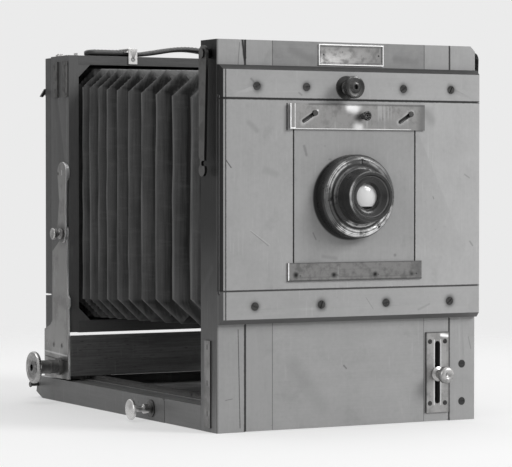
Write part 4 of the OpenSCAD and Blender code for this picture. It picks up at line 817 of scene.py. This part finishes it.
# Turned metal: a profile of (radius, height) spun about Z, milled on its rim, then laid along its axis.
# Each rides the body of its own name unless another is given
milling = 0.28
turnedPieces = {
    "clamp_knob": {
        "finish": "darkBrass", "at": [((-9.5, -81.1, 316.5), (0, -1, 0))], "milled": 10.3,
        "profile": [(0, -16), (2.5, -16), (2.5, 0), (6.5, 0), (6.5, 1.4), (4.2, 3), (3.6, 6), (4.2, 8),
                    (7.4, 9.3), (9.4, 9.9), (10.5, 11), (10.5, 14.6), (9.8, 15.8), (8.8, 16.2), (7.6, 15.4),
                    (5.6, 15.3), (4.4, 16.4), (3.4, 16.9), (2.2, 16.7), (1.6, 15.6), (1.5, 14), (0, 14)]},
    "rise_lock_nut": {
        "finish": "knobBrass", "at": [((97.05, -71.8, 45.5), (0, -1, 0))], "milled": 8.1,
        "profile": [(2.56, 0), (7, 0), (7, 1.4), (4.3, 2.8), (3.7, 6), (4, 8.5), (6.2, 10.8), (7.6, 11.8),
                    (8.25, 13), (8.25, 16), (7.3, 17.6), (5.8, 18.6), (3.8, 19), (2.6, 18.4), (1.4, 17.2),
                    (0, 16.8)]},
    "focus_knobs": {
        "body": "pinion", "finish": "dishBrass", "milled": 16.3,
        "at": [((-166.8, 280, 37.0125), (-1, 0, 0)), ((166.8, 280, 37.0125), (1, 0, 0))],
        "profile": [(3.4, 0), (5.5, 0), (6.5, 1.2), (14.6, 1.2), (15.6, 1.6), (16.5, 2.6), (16.5, 5.2),
                    (15.7, 6.3), (14.4, 6.7), (13.4, 6.5), (12.6, 5.4), (11, 4.9), (7.2, 4.7), (6.2, 5.6),
                    (5.4, 6.7), (3.4, 6.8)]},
    "lock_screw_left": {
        "finish": "lockBrass", "at": [((-140, 66.5, 11.5), (-1, 0, 0))], "milled": 9.8,
        "profile": [(0, -10), (2.5, -10), (2.5, 1.4), (4.5, 1.4), (4.5, 8.4), (3, 9.4), (2.5, 11),
                    (2.6, 18.5), (5, 19.6), (9.2, 20), (10, 20.7), (10, 22.6), (9.2, 23.3), (6, 23.6),
                    (4.5, 24.7), (3, 25), (0, 25)]},
}
turnedPieces["lock_screw_right"] = {**turnedPieces["lock_screw_left"],
                                    "at": [((140, 66.5, 11.5), (1, 0, 0))]}


def spinProfile(bm, profile, place, segments=64, milled=None):
    before = set(bm.verts)
    made = [bmesh.ops.create_vert(bm, co=(r * mm, 0, h * mm))["vert"][0] for r, h in profile]
    edges = [bm.edges.new(pair) for pair in zip(made, made[1:])]
    bmesh.ops.spin(bm, geom=made + edges, axis=(0, 0, 1), cent=(0, 0, 0), dvec=(0, 0, 0), angle=2 * pi,
                   steps=segments, use_merge=True, use_duplicate=False)
    whole = [v for v in bm.verts if v not in before]
    if milled:
        for vertex in whole:
            away = Vector((vertex.co.x, vertex.co.y))
            if away.length <= milled * mm:
                continue
            if round(away.angle_signed(Vector((1, 0))) / (2 * pi / segments)) % 2:
                vertex.co.x, vertex.co.y = away * (1 - milling * mm / away.length)
    bmesh.ops.remove_doubles(bm, verts=whole, dist=1e-6)
    whole = [v for v in whole if v.is_valid]
    bmesh.ops.transform(bm, matrix=place, verts=whole)


def placeAlong(spot, way):
    turn = Vector((0, 0, 1)).rotation_difference(Vector(way)).to_matrix().to_4x4()
    return Matrix.Translation(Vector(spot) * mm) @ turn


for name, t in turnedPieces.items():
    bm = bmesh.new()
    for spot, way in t["at"]:
        spinProfile(bm, t["profile"], placeAlong(spot, way), 96, t["milled"])
    addObject("turned_" + name, bm, t["finish"], t.get("body", name), [name], smooth=40)
print("knobs turned:", len(turnedPieces))


# Wood screws with a slot, each turned as the photograph shows
def addScrewHead(bm, place, diameter, s):
    size = {"segments": s["sides"], "radius": diameter / 2 * mm}
    for side in (0, pi):
        before = set(bm.verts)
        bmesh.ops.create_circle(bm, cap_ends=True, **size)
        fresh = [v for v in bm.verts if v not in before]
        fresh += [p for p in [*bm.edges, *bm.faces] if before.isdisjoint(p.verts)]
        bmesh.ops.bisect_plane(bm, geom=fresh, plane_co=(s["slot"] * diameter / 2 * mm, 0, 0),
                               plane_no=(1, 0, 0), clear_inner=True)
        cap = [f for f in bm.faces if before.isdisjoint(f.verts)]
        bmesh.ops.inset_region(bm, faces=cap, thickness=s["rim"] * mm, depth=s["dome"] * mm)
        rim = [e for e in bm.edges if e.is_boundary and before.isdisjoint(e.verts)]
        walls = bmesh.ops.extrude_edge_only(bm, edges=rim)["geom"]
        bmesh.ops.translate(bm, vec=(0, 0, -s["depth"] * mm), verts=onlyVerts(walls))
        half = [v for v in bm.verts if v not in before]
        bmesh.ops.transform(bm, matrix=place @ Matrix.Rotation(side, 4, "Z"), verts=half)
    made = bmesh.ops.create_circle(bm, cap_ends=True, **size)["verts"]
    bmesh.ops.transform(bm, matrix=place @ Matrix.Translation((0, 0, -s["depth"] * mm)), verts=made)


def makeFrontScrews(s):
    bm = bmesh.new()
    heads = [((x, s["cleatFace"] - s["proud"], z), turn, s["cleatHead"])
             for z, places in (s["upper"], s["lower"]) for x, turn in places]
    heads += [((x, s["plateFace"] - s["proud"], z), 20 * i + 10, s["plateHead"])
              for i, (x, z) in enumerate(s["platePlaces"])]
    for spot, turn, diameter in heads:
        place = placeAlong(spot, (0, -1, 0)) @ Matrix.Rotation(radians(turn + 90), 4, "Z")
        addScrewHead(bm, place, diameter, s)
    spinProfile(bm, s["washer"], placeAlong(s["washerAt"], (0, -1, 0)))
    addObject("slotted_screws", bm, "screwSteel", "rising_front", ["front_screws"])


makeFrontScrews(screwSetting)

# A small dark lever stands out from the left back fitting
leverForm = {"from": 318.4, "thick": 3,
             "outline": [(-140.6, 326), (-141.2, 326), (-146.2, 317.9), (-143.6, 317.2), (-140.6, 320.6)]}


def makeLever(form):
    bm = bmesh.new()
    face = bm.faces.new([bm.verts.new(Vector((x, form["from"], z)) * mm) for x, z in form["outline"]])
    back = bmesh.ops.extrude_face_region(bm, geom=[face])["geom"]
    bmesh.ops.translate(bm, vec=(0, form["thick"] * mm, 0), verts=onlyVerts(back))
    addObject("back_lever", bm, "darkBrass", "rear_frame")


makeLever(leverForm)
print("screws set")


# Rings of points are joined into a skin, and closed at the ends where asked
def loftRings(bm, rings, closeEnds, values=None):
    layer = bm.verts.layers.float.new("ridge") if values else None
    loops = []
    for i, ring in enumerate(rings):
        capped = closeEnds and i in (0, len(rings) - 1)
        made = bmesh.ops.create_circle(bm, segments=len(ring), radius=1, cap_ends=capped)
        for j, (vertex, spot) in enumerate(zip(made["verts"], ring)):
            vertex.co = spot
            if values:
                vertex[layer] = values[i][j]
        loops.append(list(dict.fromkeys(e for v in made["verts"] for e in v.link_edges)))
    for a, b in zip(loops, loops[1:]):
        bmesh.ops.bridge_loops(bm, edges=a + b)


# Leather handle: thick ends, drawn in under the staples, and an arched grip between them
strapForm = {
    "y": 275, "bottom": 359.8, "arch": 6.2, "archHalf": 58.5, "staple": 66.5, "sides": 20, "half": 115,
    "endThick": 6.2, "stapleThick": 4.1, "gripThick": 5.2, "width": 18, "tip": 7, "steps": 150,
    "square": 0.55, "rise": (6.5, 4.5), "fall": (8, 16), "pinch": 0.08,
    "stitch": {"pitch": 4.2, "in": 2.3, "size": (1.3, 0.42, 0.32), "margin": 6, "clear": 7, "sunk": 0.12},
}


def strapHeight(form, x):
    return form["arch"] * (1 + cos(pi * x / form["archHalf"])) / 2 if abs(x) < form["archHalf"] else 0


def strapSection(form, x):
    tip = min(1, max(0, (form["half"] - abs(x)) / form["tip"]))
    rounding = sqrt(max(0.04, 1 - (1 - tip) ** 2))
    past = min(1, max(0, (abs(x) - form["staple"] - form["rise"][0]) / form["rise"][1]))
    before = min(1, max(0, (form["staple"] - form["fall"][0] - abs(x)) / form["fall"][1]))
    thick = form["stapleThick"] + (form["endThick"] - form["stapleThick"]) * past ** 0.6
    thick += (form["gripThick"] - form["stapleThick"]) * before
    pinch = form["pinch"] * (1 - max(past, before))
    return form["width"] * rounding * (1 - pinch), thick * (0.5 + 0.5 * rounding)


def makeHandle(form):
    bm = bmesh.new()
    rings = []
    for i in range(form["steps"] + 1):
        x = -form["half"] + 2 * form["half"] * i / form["steps"]
        wide, thick = strapSection(form, x)
        middle = form["bottom"] + strapHeight(form, x) + thick / 2
        ring = []
        for j in range(form["sides"]):
            a = 2 * pi * (j + 0.5) / form["sides"]
            across, up = [abs(f(a)) ** form["square"] * (1 if f(a) > 0 else -1) for f in (cos, sin)]
            ring.append(Vector((x, form["y"] + wide / 2 * across, middle + thick / 2 * up)) * mm)
        rings.append(ring)
    loftRings(bm, rings, True)
    addObject("leather_handle", bm, "handleLeather", "rear_frame", ["handle_strap"], smooth=60)


def makeStitches(form):
    bm = bmesh.new()
    s = form["stitch"]
    first = s["margin"] - form["half"]
    for i in range(int(-2 * first / s["pitch"])):
        x = first + s["pitch"] * (i + 0.5)
        if abs(abs(x) - form["staple"]) < s["clear"]:
            continue
        wide, thick = strapSection(form, x)
        top = form["bottom"] + strapHeight(form, x) + thick * 0.97 - s["sunk"]
        for side in (-1, 1):
            made = bmesh.ops.create_icosphere(bm, subdivisions=1, radius=1)["verts"]
            spot = Vector((x, form["y"] + side * (wide / 2 - s["in"]), top)) * mm
            size = Matrix.Diagonal([*[v * mm for v in s["size"]], 1])
            bmesh.ops.transform(bm, matrix=Matrix.Translation(spot) @ size, verts=made)
    addObject("handle_stitches", bm, "handleLeather", "rear_frame", smooth=80)


makeHandle(strapForm)
makeStitches(strapForm)
print("handle sewn")

# Bellows, folded as in the photograph: side folds stand out where the top folds go in
bellowsForm = {
    "front": -0.038, "back": 0.298, "folds": 13, "ratio": 0.905, "pleat": 0.023, "share": 0.75,
    "endInset": 0.0016,
    "frontHalf": (0.116, 0.120), "backHalf": (0.1245, 0.130), "middle": (0.212, 0.21735),
    "frontCorner": (0.021, 0.0285), "backCorner": (0.0165, 0.0185),
    "ringsPerFold": 12, "sideSteps": 26, "cornerSteps": 6, "cloth": 0.0011, "split": 0.286,
    "flattest": 0.003, "ridgeSoft": 0.002, "wave": (9, 0.37, 0.0022), "sag": (30, 1.7, 0.0007),
}


def foldTotal(form):
    return (form["back"] - form["front"]) / (1 - form["ratio"] ** form["folds"])


def foldStation(form, k):
    return form["front"] + foldTotal(form) * (1 - form["ratio"] ** (k / 2))


def unevenness(size, along, deep, x, z, k):
    return noise.noise(Vector((x * size, z * size, k * along))) * deep


def bellowsRing(form, k):
    y = foldStation(form, k)
    halfPitch = foldStation(form, k + 0.5) - foldStation(form, k - 0.5)
    depth = form["share"] * sqrt(max(form["flattest"] ** 2, form["pleat"] ** 2 - halfPitch ** 2))
    share = (y - form["front"]) / (form["back"] - form["front"])

    def between(a, b):
        return a + (b - a) * share

    out, tall = [between(a, b) for a, b in zip(form["frontHalf"], form["backHalf"])]
    cornerWide, cornerTall = [between(a, b) for a, b in zip(form["frontCorner"], form["backCorner"])]
    middle = between(*form["middle"])

    def inward(at):
        toRidge = abs(at % 2 - 1)
        soft = sqrt(toRidge ** 2 + form["ridgeSoft"]) - sqrt(form["ridgeSoft"])
        ending = min(1, max(0, min(k, 2 * form["folds"] - k)))
        return form["endInset"] + (depth * soft - form["endInset"]) * ending, 1 - toRidge

    return y, middle, out, tall, cornerWide, cornerTall, inward


# The folds run across each cut corner at a slant, from a ridge of the side to one of the top
def ringPoints(form, k):
    y, middle, out, tall, cornerWide, cornerTall, inward = bellowsRing(form, k)
    side, top = tall - cornerTall, out - cornerWide
    quarter = []
    for j in range(form["cornerSteps"] + 1):
        t = j / form["cornerSteps"]
        drop, ridge = inward(k + t)
        # On the cut corners the ridge value drops fast, so the painted fold shade makes the corners dark
        if 0 < j < form["cornerSteps"]:
            ridge = max(ridge ** 4, 0.5 * (1 - ridge) ** 8)
        quarter.append((out - drop - (cornerWide - drop) * t, side + (cornerTall - drop) * t, ridge))
    flat = [(top - 2 * top * j / form["sideSteps"], quarter[-1][1], quarter[-1][2])
            for j in range(1, form["sideSteps"])]
    wall = [(-quarter[0][0], side - 2 * side * j / form["sideSteps"], quarter[0][2])
            for j in range(1, form["sideSteps"])]
    half = quarter + flat + [(-x, z, r) for x, z, r in reversed(quarter)] + wall
    points, ridges = [], []
    for x, z, ridge in half + [(-x, -z, r) for x, z, r in half]:
        wave, sag = [unevenness(*form[kind], x, z, k) for kind in ("wave", "sag")]
        points.append(Vector((x * (1 + sag * 4), y + wave + sag, z + middle)))
        ridges.append(ridge)
    return points, ridges


def makeBellows(name, form, first, last):
    bm = bmesh.new()
    steps = round((last - first) * form["ringsPerFold"] / 2)
    made = [ringPoints(form, first + (last - first) * i / steps) for i in range(steps + 1)]
    loftRings(bm, [m[0] for m in made], False, [m[1] for m in made])
    piece = addObject(name, bm, "bellowsCloth", None, ["bellows"], smooth=60)
    wall = piece.modifiers.new("cloth", "SOLIDIFY")
    wall.thickness = form["cloth"]
    wall.offset = -1
    return piece


reach = bellowsForm["split"] - bellowsForm["front"]
cut = 2 * log(1 - reach / foldTotal(bellowsForm)) / log(bellowsForm["ratio"])
frontBellows = makeBellows("bellows_front", bellowsForm, 0, cut)
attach(frontBellows, "base")
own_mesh(frontBellows)
rearBellows = makeBellows("bellows_rear", bellowsForm, cut, 2 * bellowsForm["folds"])
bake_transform(rearBellows)
print("bellows folded")

# White floor that thins out into the white wall, so that no horizon shows
floorSetting = {"size": 3, "tone": 0.55, "glow": 0.41, "solid": 0.65, "gone": 1.5, "middle": (0, 0.1, 0)}


def makeStage(s):
    bm = bmesh.new()
    bmesh.ops.create_grid(bm, x_segments=8, y_segments=8, size=s["size"])
    mesh = bpy.data.meshes.new("floor")
    bm.to_mesh(mesh)
    bm.free()
    floor = addToScene("floor", mesh)
    material, shader, coords = newMaterial("floorPaper", Roughness=0.9, Specular_IOR_Level=0.1)
    shader["Base Color"].default_value = grey(s["tone"])
    shader["Emission Color"].default_value = grey(s["glow"])
    path = material.node_tree.nodes.new("ShaderNodeLightPath").outputs
    seen = maths("MAXIMUM", path["Is Camera Ray"], path["Is Glossy Ray"])
    fill(shader["Emission Strength"], seen)
    away = length(vectors("SUBTRACT", coords["Object"], s["middle"]))
    fill(shader["Alpha"], ramp(away, s["solid"], s["gone"], 1, 0))
    mesh.materials.append(material)


makeStage(floorSetting)

lamps = {
    "key": {"spot": (2.2, -2.4, 2.1), "size": 1.6, "power": 72},
    "fill": {"spot": (-3, -1.6, 1.3), "size": 2.2, "power": 16},
    "top": {"spot": (0.2, 0.5, 3), "size": 2.6, "power": 36},
}
lampTarget = (0, 0.1, 0.15)
for name, lamp in lamps.items():
    data = bpy.data.lights.new(name, "AREA")
    data.shape = "DISK"
    data.size = lamp["size"]
    data.energy = lamp["power"]
    light = addToScene(name, data)
    light.location = lamp["spot"]
    light.rotation_euler = (Vector(lampTarget) - Vector(lamp["spot"])).to_track_quat("-Z", "Y").to_euler()

# The wall: as bright as the paper to the camera, a studio with a darker left corner to metal and glass
worldSetting = {"wall": 0.831, "ambient": 0.33, "shine": 0.95, "corner": 0.32}


def makeWorld(s):
    world = bpy.data.worlds.new("studio")
    scene.world = world
    world.use_nodes = True
    tree = world.node_tree
    background = tree.nodes["Background"]
    path = tree.nodes.new("ShaderNodeLightPath").outputs
    heading = axes(tree.nodes.new("ShaderNodeTexCoord").outputs["Generated"])
    lean = plus(heading[0], times(heading[2], 1.1))
    shine = ramp(lean, -0.75, 0.85, s["corner"], s["shine"])
    glossy = maths("MAXIMUM", path["Is Glossy Ray"], path["Is Transmission Ray"])
    reflected = times(glossy, minus(shine, s["ambient"]))
    seen = times(path["Is Camera Ray"], s["wall"] - s["ambient"])
    fill(background.inputs["Color"], grey(1))
    fill(background.inputs["Strength"], plus(s["ambient"], plus(seen, reflected)))


makeWorld(worldSetting)
print("stage lit")
